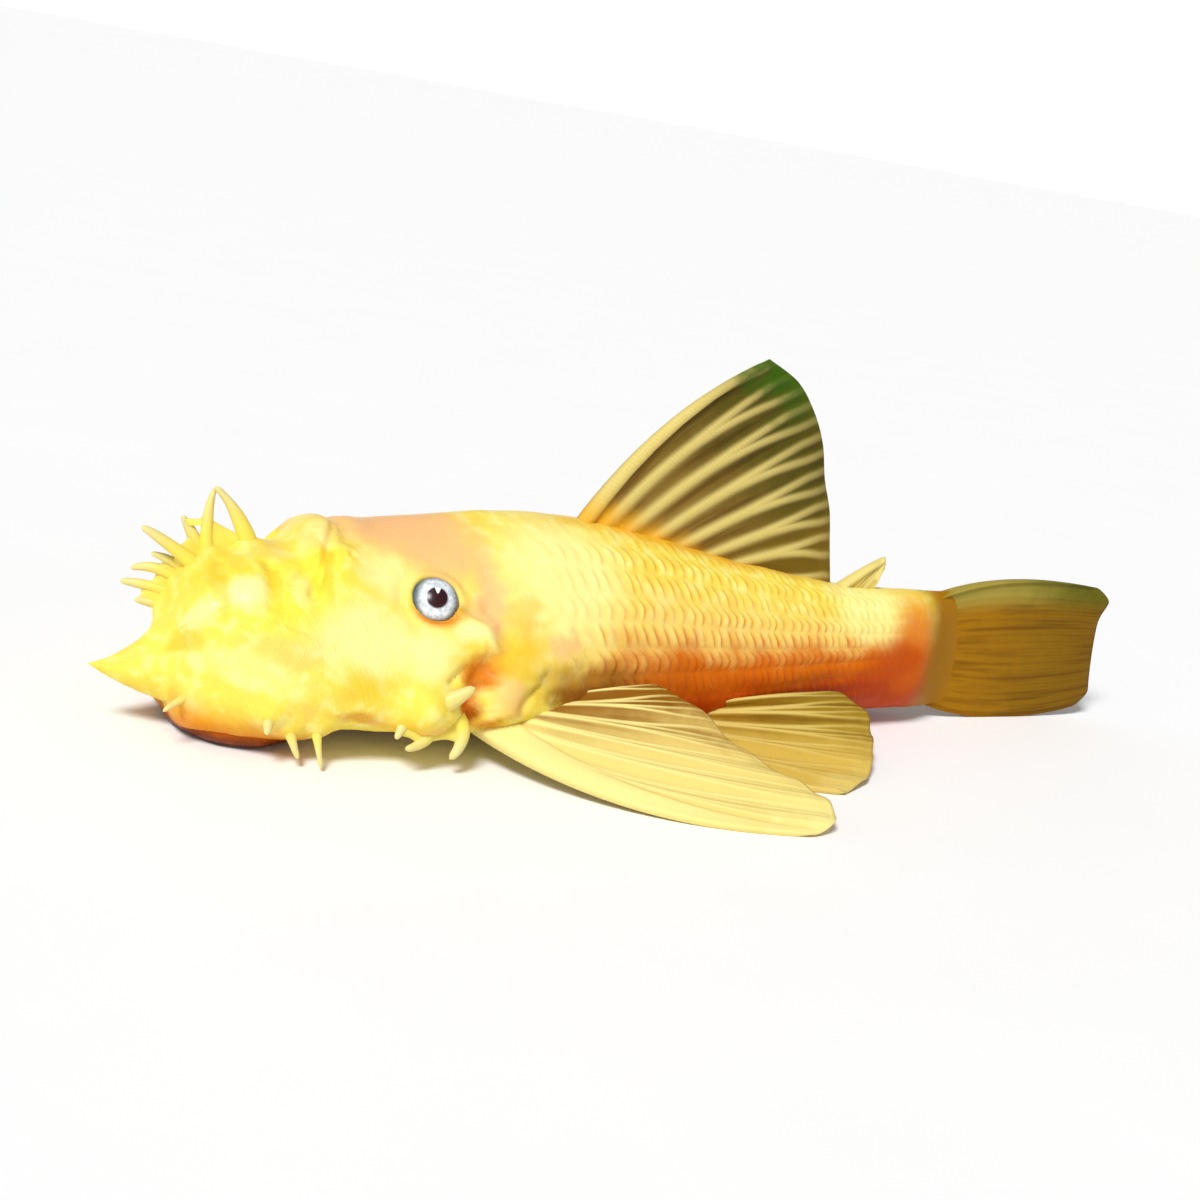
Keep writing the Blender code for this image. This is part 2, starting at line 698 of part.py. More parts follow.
def make_head():
    head = head_loft("head", 0.0, HEAD_GRID)
    nostrils = [nostril(side) for side in (1, -1)]
    rims = [eye_rim(side) for side in (1, -1)] + [ring for ring, _ in nostrils]
    combine(head, rims + head_growths(), "UNION")
    cuts = [eyeball("socket", side, GAP) for side in (1, -1)] + [pit for _, pit in nostrils]
    combine(head, cuts + [mouth_disc("mouth_seat", GAP)], "DIFFERENCE")
    point, normal = parting_cut()
    cut_flat(head, point - normal * (0.5 * GAP * STANDARD_LENGTH), normal)
    keep_largest(head)
    finish_node(head, LEMON, 0.45)


def make_trunk_and_tail():
    point, normal = parting_cut()
    half_gap = 0.5 * GAP * STANDARD_LENGTH
    waist = place(TRUNK_END, 0.0, 0.0)
    trunk = plated_loft("trunk")
    cut_flat(trunk, point + normal * half_gap, -normal)
    cut_flat(trunk, waist - TAILWARD * half_gap, TAILWARD)
    keep_largest(trunk)
    finish_node(trunk, GOLD, 0.45)
    tail = plated_loft("tail")
    cut_flat(tail, waist + TAILWARD * half_gap, -TAILWARD)
    cut_flat(tail, place(TAIL_END, 0.0, 0.0), TAILWARD)
    keep_largest(tail)
    finish_node(tail, GOLD, 0.45)


def ridge_height(share, reach, outermost):
    """Height of the rays over the membrane, which past their fork run on as two."""
    fade = 1.0 - RIDGE_LOSS * reach
    if outermost or (share in (0.0, 1.0) and reach < RAY_FORK + 0.01):
        return RAY_RIDGE * fade
    if share in (0.25, 0.75) and reach > RAY_FORK + 0.01:
        return BRANCH_SHARE * RAY_RIDGE * fade
    return 0.0


def fin_lines(rays, steps, scallop):
    """Lines across a fin, four from each ray to the next: points and half thickness."""
    lines = [(i, share) for i in range(len(rays) - 1) for share in (0.0, 0.25, 0.5, 0.75)]
    lines.append((len(rays) - 2, 1.0))
    points = []
    halves = []
    for number, share in lines:
        outermost = share == 1.0 or (number == 0 and share == 0.0)
        sag = 1.0 - scallop * 4.0 * share * (1.0 - share)
        row = []
        half = []
        for step in range(steps + 1):
            reach = sag * step / steps
            row.append(bend(*rays[number], reach) * (1.0 - share)
                       + bend(*rays[number + 1], reach) * share)
            plain = FIN_ROOT + (FIN_TIP - FIN_ROOT) * reach
            half.append(0.5 * plain + ridge_height(share, reach, outermost))
        half[-1] = 0.5 * FIN_EDGE
        points.append(row)
        halves.append(half)
    return points, halves


def fin(name, rays, steps, scallop=SCALLOP):
    """Thin curved membrane with its rays raised in both faces, split alike on both."""
    points, halves = fin_lines(rays, steps, scallop)
    count = len(points)
    length = steps + 1
    skin = []
    for side in (1.0, -1.0):
        for i in range(count):
            for j in range(length):
                over = points[min(i + 1, count - 1)][j] - points[max(i - 1, 0)][j]
                forth = points[i][min(j + 1, steps)] - points[i][max(j - 1, 0)]
                normal = over.cross(forth).normalized()
                skin.append(points[i][j] + normal * (side * halves[i][j]))
    faces = []
    back = count * length
    for i in range(count - 1):
        for j in range(steps):
            a = i * length + j
            b = a + length
            faces.append((a, b, b + 1))
            faces.append((a, b + 1, a + 1))
            faces.append((back + a, back + b + 1, back + b))
            faces.append((back + a, back + a + 1, back + b + 1))
    rim = [i * length for i in range(count)]
    rim += [(count - 1) * length + j for j in range(1, length)]
    rim += [i * length + steps for i in range(count - 2, -1, -1)]
    rim += list(range(steps - 1, 0, -1))
    for a, b in zip(rim, rim[1:] + rim[:1]):
        faces.append((a, back + b, b))
        faces.append((a, back + a, back + b))
    return mesh_object(name, skin, faces)


def middle_rays(rays):
    """Rays of a fin on the fish's middle plane."""
    return [tuple(place(along, 0.0, up) for along, up in ray) for ray in rays]


def side_rays(rays):
    """Rays of a paired fin of the fish's left side."""
    return [tuple(place(along, out, up) for along, out, up in ray) for ray in rays]


def caudal_rays():
    """Rays fanned between the tail fin's top and lower rays, shortest in the middle."""
    rays = []
    for number in range(CAUDAL_RAYS):
        share = number / (CAUDAL_RAYS - 1)
        ray = []
        for top, low in zip(CAUDAL_TOP, CAUDAL_LOW):
            ray.append([a + (b - a) * share for a, b in zip(top, low)])
        ray[2][0] -= CAUDAL_NOTCH * 4.0 * share * (1.0 - share)
        rays.append(ray)
    return middle_rays(rays)


def flesh_cutter():
    """The whole body grown by the gap, which trims the root of each fin."""
    cutter = plated_loft("trim", GAP)
    combine(cutter, [head_loft("trim_head", GAP, PLATE_GRID)], "UNION")
    return cutter


def plant(thing, cutter, colour):
    """Trim a fin's root to the body's skin and its lowest edge to the floor."""
    trim = new_object("trim", cutter.data.copy())
    combine(thing, [trim], "DIFFERENCE")
    cut_flat(thing, Vector((0.0, 0.0, 0.0)), -UPWARD)
    keep_largest(thing)
    finish_node(thing, colour, 0.4)


def make_fins():
    cutter = flesh_cutter()
    plant(fin("dorsal_fin", middle_rays(DORSAL_RAYS), 8), cutter, OLIVE)
    plant(fin("adipose_fin", middle_rays(ADIPOSE_RAYS), 5), cutter, CREAM)
    plant(fin("anal_fin", middle_rays(ANAL_RAYS), 5), cutter, CREAM)
    for name, rays, steps in (("pectoral_fin_", PECTORAL_RAYS, 8), ("pelvic_fin_", PELVIC_RAYS, 7)):
        left = fin(name + "left", side_rays(rays), steps)
        plant(left, cutter, CREAM)
        finish_node(mirror_node(left, name + "right"), CREAM, 0.4)
    bpy.data.objects.remove(cutter)
    caudal = fin("caudal_fin", caudal_rays(), 7, 0.0)
    cut_flat(caudal, place(TAIL_END + GAP, 0.0, 0.0), -TAILWARD)
    cut_flat(caudal, Vector((0.0, 0.0, 0.0)), -UPWARD)
    keep_largest(caudal)
    finish_node(caudal, OLIVE, 0.4)


def main():
    for thing in list(bpy.data.objects):
        bpy.data.objects.remove(thing)
    make_head()
    make_trunk_and_tail()
    make_mouth()
    make_eyes()
    make_fins()


main()
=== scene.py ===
import math
import random
from collections import namedtuple

import bmesh
import bpy
import numpy as np
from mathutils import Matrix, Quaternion, Vector, noise


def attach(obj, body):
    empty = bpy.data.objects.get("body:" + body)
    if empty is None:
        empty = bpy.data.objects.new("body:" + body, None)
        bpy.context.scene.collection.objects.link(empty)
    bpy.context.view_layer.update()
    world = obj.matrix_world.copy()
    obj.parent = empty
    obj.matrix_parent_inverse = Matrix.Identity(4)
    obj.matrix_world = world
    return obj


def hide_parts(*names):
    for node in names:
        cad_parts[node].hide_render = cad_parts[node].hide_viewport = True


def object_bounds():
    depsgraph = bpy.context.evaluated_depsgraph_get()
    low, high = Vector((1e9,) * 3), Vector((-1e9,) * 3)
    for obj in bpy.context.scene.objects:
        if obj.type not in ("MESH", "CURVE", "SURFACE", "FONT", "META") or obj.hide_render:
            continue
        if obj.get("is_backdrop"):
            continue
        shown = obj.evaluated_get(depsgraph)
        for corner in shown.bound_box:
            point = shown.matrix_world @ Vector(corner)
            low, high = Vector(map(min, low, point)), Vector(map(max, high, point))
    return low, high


# Looks of an albino bristlenose pleco resting on its mouth and fins.
# The fish heads along -Y with its left side on +X and the floor at Z = 0.
# Places are shares of the standard length: 'along' from the snout tip (0) to the
# tail-fin base (1), 'out' to the left, 'up' from the floor. 'Around' is -1 on the
# belly, 0 at the widest level and 1 on the back.

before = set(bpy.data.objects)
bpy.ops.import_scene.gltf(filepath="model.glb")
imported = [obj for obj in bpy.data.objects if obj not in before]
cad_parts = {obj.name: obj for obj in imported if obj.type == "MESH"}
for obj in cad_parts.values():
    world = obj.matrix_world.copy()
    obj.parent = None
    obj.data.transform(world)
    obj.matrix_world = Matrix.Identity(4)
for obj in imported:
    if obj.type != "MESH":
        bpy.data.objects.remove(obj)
solid_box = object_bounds()

# Driving dimensions, as in the solids
STANDARD_LENGTH = 0.091
MIDDLE_ALONG = 0.5990
SEED = 57

# Body stations: along, half width, back height, belly height, height of the
# widest level, roundness of the flank above it, roundness below it
BODY_STATIONS = (
    (0.000, 0.134, 0.168, 0.017, 0.084, 2.25, 2.4),
    (0.050, 0.136, 0.179, 0.015, 0.080, 2.20, 2.4),
    (0.095, 0.138, 0.187, 0.014, 0.074, 2.10, 2.4),
    (0.123, 0.139, 0.190, 0.013, 0.072, 2.00, 2.4),
    (0.141, 0.140, 0.218, 0.012, 0.068, 1.74, 2.4),
    (0.165, 0.142, 0.223, 0.011, 0.066, 1.72, 2.3),
    (0.205, 0.145, 0.221, 0.009, 0.064, 1.65, 2.3),
    (0.260, 0.149, 0.226, 0.007, 0.064, 1.58, 2.2),
    (0.320, 0.148, 0.233, 0.006, 0.064, 1.62, 2.2),
    (0.380, 0.140, 0.236, 0.005, 0.064, 1.68, 2.4),
    (0.455, 0.125, 0.232, 0.005, 0.066, 1.72, 2.6),
    (0.550, 0.107, 0.217, 0.006, 0.068, 1.80, 2.8),
    (0.650, 0.090, 0.196, 0.010, 0.070, 1.85, 2.8),
    (0.750, 0.073, 0.179, 0.014, 0.074, 1.95, 2.6),
    (0.850, 0.058, 0.166, 0.015, 0.078, 2.10, 2.4),
    (0.930, 0.047, 0.163, 0.016, 0.082, 2.20, 2.4),
    (1.000, 0.036, 0.164, 0.016, 0.086, 2.30, 2.4),
)
# Points on a quarter of a cross-section, from which even shares of its length are taken
QUARTER_POINTS = 41

# Snout: where it starts, the lengths that it rounds off over, seen from above, on its
# top and underneath, the height that it closes at and how full it is there
SNOUT_START = 0.006
SNOUT_PLAN = 0.150
SNOUT_TOP = 0.050
SNOUT_UNDER = 0.024
SNOUT_AXIS = 0.080
SNOUT_POWER = 2.3

# Underside: how far the snout's rim hangs down and where it ends, and how far the cheek
# is lifted behind it and where that ends
SNOUT_RIM_DROP = 0.0105
SNOUT_RIM_END = (0.120, 0.165)
CHEEK_LIFT = 0.007
CHEEK_END = (0.300, 0.400)

# Rear end of the skin: where it ends inside the tail fin, where it starts to narrow,
# the share of its width that is left at the end, and how much the end slants
TAIL_END = 1.040
PEDUNCLE_TAPER = 0.930
PEDUNCLE_END_SHARE = 0.03
PEDUNCLE_END_SLANT = 0.17

# Grid of the skin: rings and columns, how much the rings crowd where the snout turns,
# how often each ring is smoothed, and the lowest that the skin reaches. Its grain is the
# height and the coarse and fine scale of slow swells.
FLAP_RINGS = 26
HEAD_RINGS = 118
END_RINGS = 9
COLUMNS_ABOVE = 84
COLUMNS_BELOW = 34
SNOUT_CROWDING = 0.55
ROUNDING_PASSES = 10
SKIN_LOWEST = 0.0015
GRAIN_HEIGHT = 0.0011
GRAIN_SCALES = (22.0, 55.0)

# The fleshy flap at the front of the snout: root and tip, how far it sags, how fast it
# widens below and above, the neck where it joins the snout, how its rings crowd at the
# tip, where its upper half begins, and how far its last point stands ahead
FLAP_ROOT_ALONG = 0.0125
FLAP_TIP_ALONG = -0.063
FLAP_TIP_UP = 0.0615
FLAP_TIP_OUT = -0.006
FLAP_SAG = 0.010
FLAP_TAPER_BELOW = 1.05
FLAP_TAPER_ABOVE = 1.28
FLAP_NECK = 0.34
FLAP_NECK_POWER = 10
FLAP_CROWDING = 1.3
FLAP_UPPER = (-0.3, 0.5)
FLAP_POINT = 0.0006

# Bony plates: columns that slant tail-ward going down, wide apart at first
PLATE_START = 0.340
PLATE_END = 0.975
FIRST_PITCH = 0.0215
LAST_PITCH = 0.0118
PITCH_FADE = 7.0
PLATE_COUNT = round((PLATE_END - PLATE_START - (FIRST_PITCH - LAST_PITCH) * PITCH_FADE)
                    / LAST_PITCH)
FRONT_SLANT = 0.070
REAR_SLANT = 0.022
SLANT_BLEND = 0.20
PLATE_LEVEL = 0.30

# Each plate: height of its rear edge and of its crown, how far it bulges and wanders
# tail-ward in pitches, the share of the pitch that its edge steps down over, how soon
# the painted shade at the foot of the edge fades, and where its rings lie
PLATE_RISE = 0.0017
PLATE_CROWN = 0.0006
PLATE_BULGE = 0.45
PLATE_WANDER = 0.40
PLATE_WANDER_SCALES = (0.55, 4.0)
PLATE_STEP = 0.14
PLATE_FOOT = 0.30
PLATE_RINGS = (0.0, PLATE_STEP, 0.36, 0.60, 0.82)

# How much the plates differ in height, where they fade in and out along the fish, and
# where and how much they fade towards the back
PLATE_UNEVENNESS = 0.9
PLATE_FADE_IN = 0.16
PLATE_FADE_OUT = (0.80, 0.93)
PLATE_BACK_FADE = (0.74, 0.96)
PLATE_BACK_LOSS = 0.85

# Rows of plates: their edges around, how far each is staggered in pitches, half the
# width of a seam, and where the lowest row fades in
ROW_EDGES = (-0.46, -0.20, -0.02, 0.12, 0.25, 0.38, 0.51, 0.65, 0.80, 1.0)
ROW_STAGGER = (0.0, 0.48, 0.04, 0.55, -0.02, 0.50, 0.02, 0.46, 0.0)
ROW_SEAM = 0.020
ROW_FADE_IN = (ROW_EDGES[0] - 0.02, ROW_EDGES[0] + 0.10)

# Eyes
EYE_ALONG = 0.249
EYE_OUT = 0.0955
EYE_UP = 0.1630
EYE_RADIUS = 0.0243
EYE_DEPTH = 0.0175
EYE_AIM = Vector((0.76, -0.14, 0.63)).normalized()
EYE_LOOK = Vector((0.84, -0.28, 0.47)).normalized()
EYE_RINGS = 48
EYE_SIDES = 72

# Skin round the eye: how far it sinks behind the eye, then height, width and middle of
# the lid and of the moat outside it, and width and middle of the lid's painted shade, in
# radii of the eye. The skin counts as near down to a depth, and the painted shade lies beneath a
# level.
EYE_HOLLOW = -0.012
EYE_HOLLOW_EDGE = (0.80, 1.02)
EYE_LID = (0.0020, 0.17, 1.16)
EYE_MOAT = (-0.0016, 0.22, 1.55)
EYE_SHADE = (0.17, 1.10)
EYE_NEAR = 0.035
EYE_BENEATH = (0.2, -0.7)

# Nostrils
NOSTRIL_ALONG = 0.168
NOSTRIL_AROUND = 0.70
NOSTRIL_RADIUS = 0.0062
NOSTRIL_RIM = 0.0008
NOSTRIL_PIT = 0.0030

# Mouth disc
MOUTH_ALONG = 0.088
MOUTH_HALF_LENGTH = 0.072
MOUTH_HALF_WIDTH = 0.090
MOUTH_TOP = 0.0255
MOUTH_FOLD = (0.88, 1.02)
# Lips from their top edge down round the rim and into the hollow: share of the
# disc's size and of its height
LIP_PROFILE = (
    (0.90, 1.00), (0.97, 0.94), (0.995, 0.84), (1.00, 0.70), (0.985, 0.52), (0.95, 0.34),
    (0.90, 0.19), (0.83, 0.07), (0.76, 0.00), (0.68, 0.00), (0.60, 0.02), (0.55, 0.09),
    (0.48, 0.18), (0.38, 0.24), (0.30, 0.27), (0.22, 0.30), (0.16, 0.38), (0.11, 0.50),
)
# Slit: share of the disc that is flattened towards it, and how flat its middle gets
LIP_SLIT_REACH = 0.30
LIP_SLIT_WIDTH = 0.45
# Ripples of the rim: their height and number, and where they set in
LIP_RIPPLE = 0.008
LIP_RIPPLES = 9
LIP_RIPPLE_START = (0.3, 0.9)
# Level of the hollow's middle, and points round the lips
LIP_HOLLOW = 0.55
LIP_SIDES = 96

# Bristles: along and around of the root, then ahead, out and up to the tip, the
# root's half thickness, how fast it narrows, and how far its middle bends ahead and up
Bristle = namedtuple("Bristle", "side along around ahead out up girth taper bend_ahead bend_up")
CREST_BRISTLES = (
    (0.086, 0.97, 0.036, -0.018, 0.055, 0.0120, 1.2, -0.004, 0.004),
    (0.046, 0.93, -0.008, -0.019, 0.062, 0.0100, 1.2, 0.004, 0.002),
    (0.042, 0.86, 0.018, -0.013, 0.034, 0.0110, 1.2, 0.001, 0.004),
    (0.032, 0.95, 0.052, -0.016, 0.032, 0.0092, 0.8, 0.002, 0.003),
    (0.026, 0.84, 0.030, -0.014, 0.012, 0.0090, 1.1, 0.000, 0.003),
    (0.020, 0.74, 0.039, -0.020, 0.005, 0.0085, 0.8, 0.000, 0.008),
    (0.016, 0.62, 0.042, -0.021, 0.004, 0.0080, 0.7, 0.000, 0.002),
    (0.012, 0.50, 0.024, -0.013, 0.003, 0.0090, 0.9, 0.000, 0.002),
)
MARGIN_BRISTLES = (
    (0.022, -0.30, 0.032, 0.014, -0.010, 0.0066, 1.0, 0.000, 0.003),
    (0.080, -0.16, 0.004, 0.013, -0.016, 0.0110, 0.9, 0.000, 0.002),
    (0.104, -0.25, -0.008, 0.012, -0.026, 0.0092, 1.0, 0.003, 0.004),
    (0.130, -0.22, -0.002, 0.016, -0.032, 0.0080, 1.3, 0.002, 0.003),
)
CHEEK_SPINES = (
    (0.232, 0.00, -0.042, 0.016, 0.032, 0.0150, 0.8, 0.000, -0.002),
    (0.254, -0.05, -0.004, 0.013, -0.038, 0.0105, 0.6, -0.018, 0.001),
    (0.242, -0.07, 0.032, 0.010, -0.024, 0.0100, 0.8, -0.006, -0.008),
    (0.216, -0.06, 0.015, 0.008, -0.017, 0.0095, 0.9, 0.000, 0.000),
)
# Webs of skin between bristles, by their numbers: where the web starts and how far
# it reaches, as shares of each bristle, and how hollow its edge is
CREST_WEBS = (
    (0, 1, 0.00, 0.04, 0.44, 0.05),
    (1, 2, 0.66, 0.47, 0.90, 0.10),
    (2, 3, 0.00, 0.36, 0.30, 0.20),
    (3, 4, 0.00, 0.24, 0.34, 0.20),
    (4, 5, 0.00, 0.50, 0.48, 0.20),
    (5, 6, 0.00, 0.34, 0.36, 0.20),
    (6, 7, 0.00, 0.50, 0.80, 0.10),
)
SIDE_WEBS = (
    (5, 6, 0.00, 0.62, 0.60, 0.30),
    (6, 7, 0.00, 0.62, 0.80, 0.20),
)
# Thickness of a web at its root and at its edge, where the edge rounds off, and the
# web's points each way
WEB_ROOT = 0.0170
WEB_EDGE = 0.0050
WEB_THINNING = 0.8
WEB_POINTS = 15
# Mounds of skin under the bristles, as shares of their girth, and where the cheek
# spines begin
CREST_MOUND = 0.75
CHEEK_MOUND = 0.80
CHEEK_START = EYE_ALONG - 0.06
MOUND_REACH = 1.55
# Every bristle: how deep its root sinks and how far it leans out of the skin, its
# thickness left at the tip, the flare at its root, its uneven swells, and where its
# tip rounds off and ends
BRISTLE_SINK = 0.006
BRISTLE_LEAN = 0.14
BRISTLE_BLUNT = 0.24
BRISTLE_FLARE = 0.60
BRISTLE_FLARE_REACH = 0.10
BRISTLE_UNEVENNESS = 0.06
BRISTLE_SWELLS = 9.0
BRISTLE_SWELL_SHIFT = 40.0
BRISTLE_TIP = 0.90
BRISTLE_END = 0.985
BRISTLE_RINGS = 26
BRISTLE_SIDES = 20
# Most that a right bristle differs from the left one, in length and place
FAR_SIDE_CHANGE = 0.18
FAR_SIDE_SHIFT = 0.006

# Length round a quarter of the body, which puts around in the measure of along
QUARTER_LENGTH = 0.24
# Folds of the skin: two ends as along and around, half width and height (grooves
# are negative)
FOLDS = (
    (0.172, 1.00, 0.170, 0.80, 0.0110, -0.0070),
    (0.164, 0.93, 0.122, 0.54, 0.0042, -0.0080),
    (0.176, 0.86, 0.150, 0.58, 0.0090, 0.0022),
    (0.132, 0.76, 0.103, 0.60, 0.0032, -0.0036),
    (0.092, 0.80, 0.080, 0.46, 0.0062, -0.0040),
    (0.048, 0.86, 0.038, 0.48, 0.0062, -0.0040),
    (0.012, 0.42, 0.014, 0.14, 0.0085, -0.0045),
    (0.045, 0.34, 0.095, 0.20, 0.0040, -0.0014),
    (0.060, 0.40, 0.118, 0.27, 0.0040, 0.0014),
    (0.075, 0.38, 0.125, 0.32, 0.0030, -0.0012),
    (0.085, 0.08, 0.160, 0.30, 0.0040, -0.0010),
    (0.272, 0.42, 0.300, 0.32, 0.0070, 0.0070),
    (0.300, 0.32, 0.311, 0.24, 0.0060, 0.0055),
    (0.304, 0.45, 0.326, 0.30, 0.0070, -0.0045),
    (0.312, 0.24, 0.292, 0.16, 0.0110, -0.0085),
    (0.292, 0.16, 0.283, 0.03, 0.0135, -0.0105),
    (0.283, 0.03, 0.266, -0.12, 0.0095, -0.0095),
    (0.274, 0.19, 0.254, 0.12, 0.0034, -0.0060),
    (0.304, -0.14, 0.338, 0.03, 0.0045, -0.0062),
    (0.338, 0.03, 0.374, 0.15, 0.0050, -0.0052),
    (0.157, 0.46, 0.173, 0.45, 0.0018, -0.0016),
)
# Bulges of the skin: along, around, reach along, reach around, height
BULGES = (
    (0.060, 0.54, 0.020, 0.14, 0.0060),
    (0.024, 0.46, 0.012, 0.12, 0.0035),
    (0.112, 0.58, 0.014, 0.14, 0.0034),
    (0.014, -0.45, 0.024, 0.28, 0.0085),
    (0.060, -0.45, 0.040, 0.26, 0.0045),
    (0.235, 0.18, 0.045, 0.14, 0.0040),
    (0.170, 0.08, 0.050, 0.12, 0.0030),
    (0.258, 0.30, 0.030, 0.10, 0.0055),
    (0.238, 0.02, 0.024, 0.08, 0.0075),
    (0.246, -0.14, 0.032, 0.09, 0.0080),
    (0.320, 0.04, 0.024, 0.13, 0.0100),
)

# Fins: thickness at the root, near the tip and at the edge, the rays' height and half
# width, and the height and width of the thick leading spine
MM = 0.001
FIN_ROOT = 0.80 * MM
FIN_TIP = 0.30 * MM
FIN_EDGE = 0.12 * MM
RAY_HEIGHT = 0.26 * MM
RAY_WIDTH = 0.34 * MM
SPINE_HEIGHT = 0.50 * MM
SPINE_WIDTH = 1.30 * MM

# Towards the fin's edge: how much the rays and the spine narrow and get lower, where
# the spine's colour ends, and where and how much the sheet thins out
RAY_NARROWING = 0.25
RAY_LOWERING = 0.4
SPINE_NARROWING = 0.45
SPINE_LOWERING = 0.5
SPINE_COLOUR_END = (0.55, 1.15)
FIN_THINNING = (0.95, 1.0)
FIN_THINNED = 0.9
# Share of the rays that a rounded corner takes, and where a wavy fin's waves set in
FIN_CORNER = 0.12
FIN_WAVE_START = (0.1, 0.7)
# Branches of a ray: how far they spread, as a share of the gap, and how fast, and how
# much slimmer they are and over what reach
BRANCH_SPREAD = 0.25
BRANCH_HASTE = 1.25
BRANCH_SLIMMING = 0.30
BRANCH_SLIMMING_REACH = 0.20

# Rays of the fins on the middle plane: root, middle and tip, as along and up
DORSAL_RAYS = (
    ((0.440, 0.206), (0.524, 0.356), (0.662, 0.424)),
    ((0.472, 0.206), (0.556, 0.328), (0.706, 0.402)),
    ((0.500, 0.202), (0.588, 0.302), (0.736, 0.370)),
    ((0.532, 0.198), (0.622, 0.276), (0.757, 0.334)),
    ((0.564, 0.192), (0.655, 0.250), (0.770, 0.293)),
    ((0.596, 0.184), (0.690, 0.228), (0.786, 0.256)),
    ((0.630, 0.178), (0.715, 0.206), (0.796, 0.216)),
    ((0.672, 0.168), (0.740, 0.178), (0.808, 0.170)),
)
ADIPOSE_RAYS = (
    ((0.808, 0.158), (0.845, 0.186), (0.882, 0.204)),
    ((0.845, 0.150), (0.866, 0.174), (0.884, 0.198)),
    ((0.878, 0.150), (0.868, 0.174), (0.884, 0.192)),
)
ANAL_RAYS = (
    ((0.735, 0.026), (0.752, 0.006), (0.800, 0.0045)),
    ((0.750, 0.026), (0.772, 0.010), (0.826, 0.0055)),
    ((0.766, 0.026), (0.792, 0.014), (0.838, 0.0085)),
    ((0.782, 0.026), (0.806, 0.018), (0.835, 0.0125)),
)
CAUDAL_TOP = ((0.965, 0.154), (1.070, 0.198), (1.252, 0.172))
CAUDAL_LOW = ((0.965, 0.026), (1.090, -0.024), (1.268, 0.018))
CAUDAL_RAYS = 20
CAUDAL_NOTCH = 0.006
CAUDAL_LOBE = 0.012
CAUDAL_LOBE_SPAN = (0.11, 0.10)

# Rays of the left side's paired fins: root, middle and tip, as along, out and up
PECTORAL_RAYS = (
    ((0.296, 0.112, 0.036), (0.372, 0.308, 0.000), (0.588, 0.350, 0.0045)),
    ((0.303, 0.112, 0.040), (0.395, 0.272, 0.018), (0.616, 0.332, 0.0140)),
    ((0.310, 0.110, 0.044), (0.405, 0.240, 0.038), (0.620, 0.300, 0.0240)),
    ((0.317, 0.108, 0.048), (0.412, 0.212, 0.054), (0.598, 0.262, 0.0330)),
    ((0.324, 0.106, 0.050), (0.418, 0.186, 0.068), (0.564, 0.215, 0.0480)),
    ((0.332, 0.100, 0.046), (0.424, 0.158, 0.079), (0.530, 0.175, 0.0780)),
    ((0.342, 0.094, 0.040), (0.428, 0.132, 0.084), (0.490, 0.146, 0.0930)),
)
PELVIC_RAYS = (
    ((0.505, 0.052, 0.012), (0.585, 0.214, 0.001), (0.694, 0.243, 0.0040)),
    ((0.512, 0.054, 0.016), (0.600, 0.170, 0.010), (0.746, 0.214, 0.0080)),
    ((0.519, 0.056, 0.021), (0.618, 0.130, 0.020), (0.782, 0.174, 0.0170)),
    ((0.526, 0.058, 0.026), (0.626, 0.116, 0.032), (0.802, 0.142, 0.0280)),
    ((0.533, 0.060, 0.027), (0.632, 0.108, 0.050), (0.808, 0.112, 0.0500)),
    ((0.540, 0.062, 0.028), (0.636, 0.104, 0.070), (0.776, 0.094, 0.0660)),
)

# Camera: turned off the fish's left side towards its head, looking down, tilted,
# and as many standard lengths away
CAMERA_YAW = math.radians(31.7)
CAMERA_DOWN = math.radians(15.0)
CAMERA_TILT = math.radians(10.0)
CAMERA_DISTANCE = 2.2
CAMERA_LENS = 59.46
CAMERA_SHIFT = (0.0042, 0.0292)
CAMERA_AIM = (0.5, 0.0, 0.1)

# Light: direction towards the key light, its strength and softness, and the dome's
# brightness at its edge and overhead
KEY_DIRECTION = (0.45, -0.55, 0.80)
KEY_STRENGTH = 3.1
KEY_SOFTNESS = 0.30
DOME_EDGE = 1.02
DOME_TOP = 0.26

# Floor: its radius in metres and its sides
FLOOR_REACH = 9.0
FLOOR_SIDES = 96

UPWARD = Vector((0.0, 0.0, 1.0))
TAILWARD = Vector((0.0, 1.0, 0.0))


def place(along, out, up):
    """Point in metres of a place given in shares of the standard length."""
    size = STANDARD_LENGTH
    return Vector((out * size, (along - MIDDLE_ALONG) * size, up * size))


def smooth_share(low, high, value):
    """0 at low, 1 at high, and smooth between."""
    share = np.clip((value - low) / (high - low), 0.0, 1.0)
    return share * share * (3.0 - 2.0 * share)


def bell(value, width, middle=0.0):
    """1 at the middle, falling smoothly to almost 0 two widths away."""
    return np.exp(-((value - middle) / width) ** 2)


def arch(share):
    """0 at both ends and 1 half-way."""
    return 4.0 * share * (1.0 - share)


def turns(sides, shift=0.0):
    """Angles of even steps once round."""
    return [2 * math.pi * (j + shift) / sides for j in range(sides)]


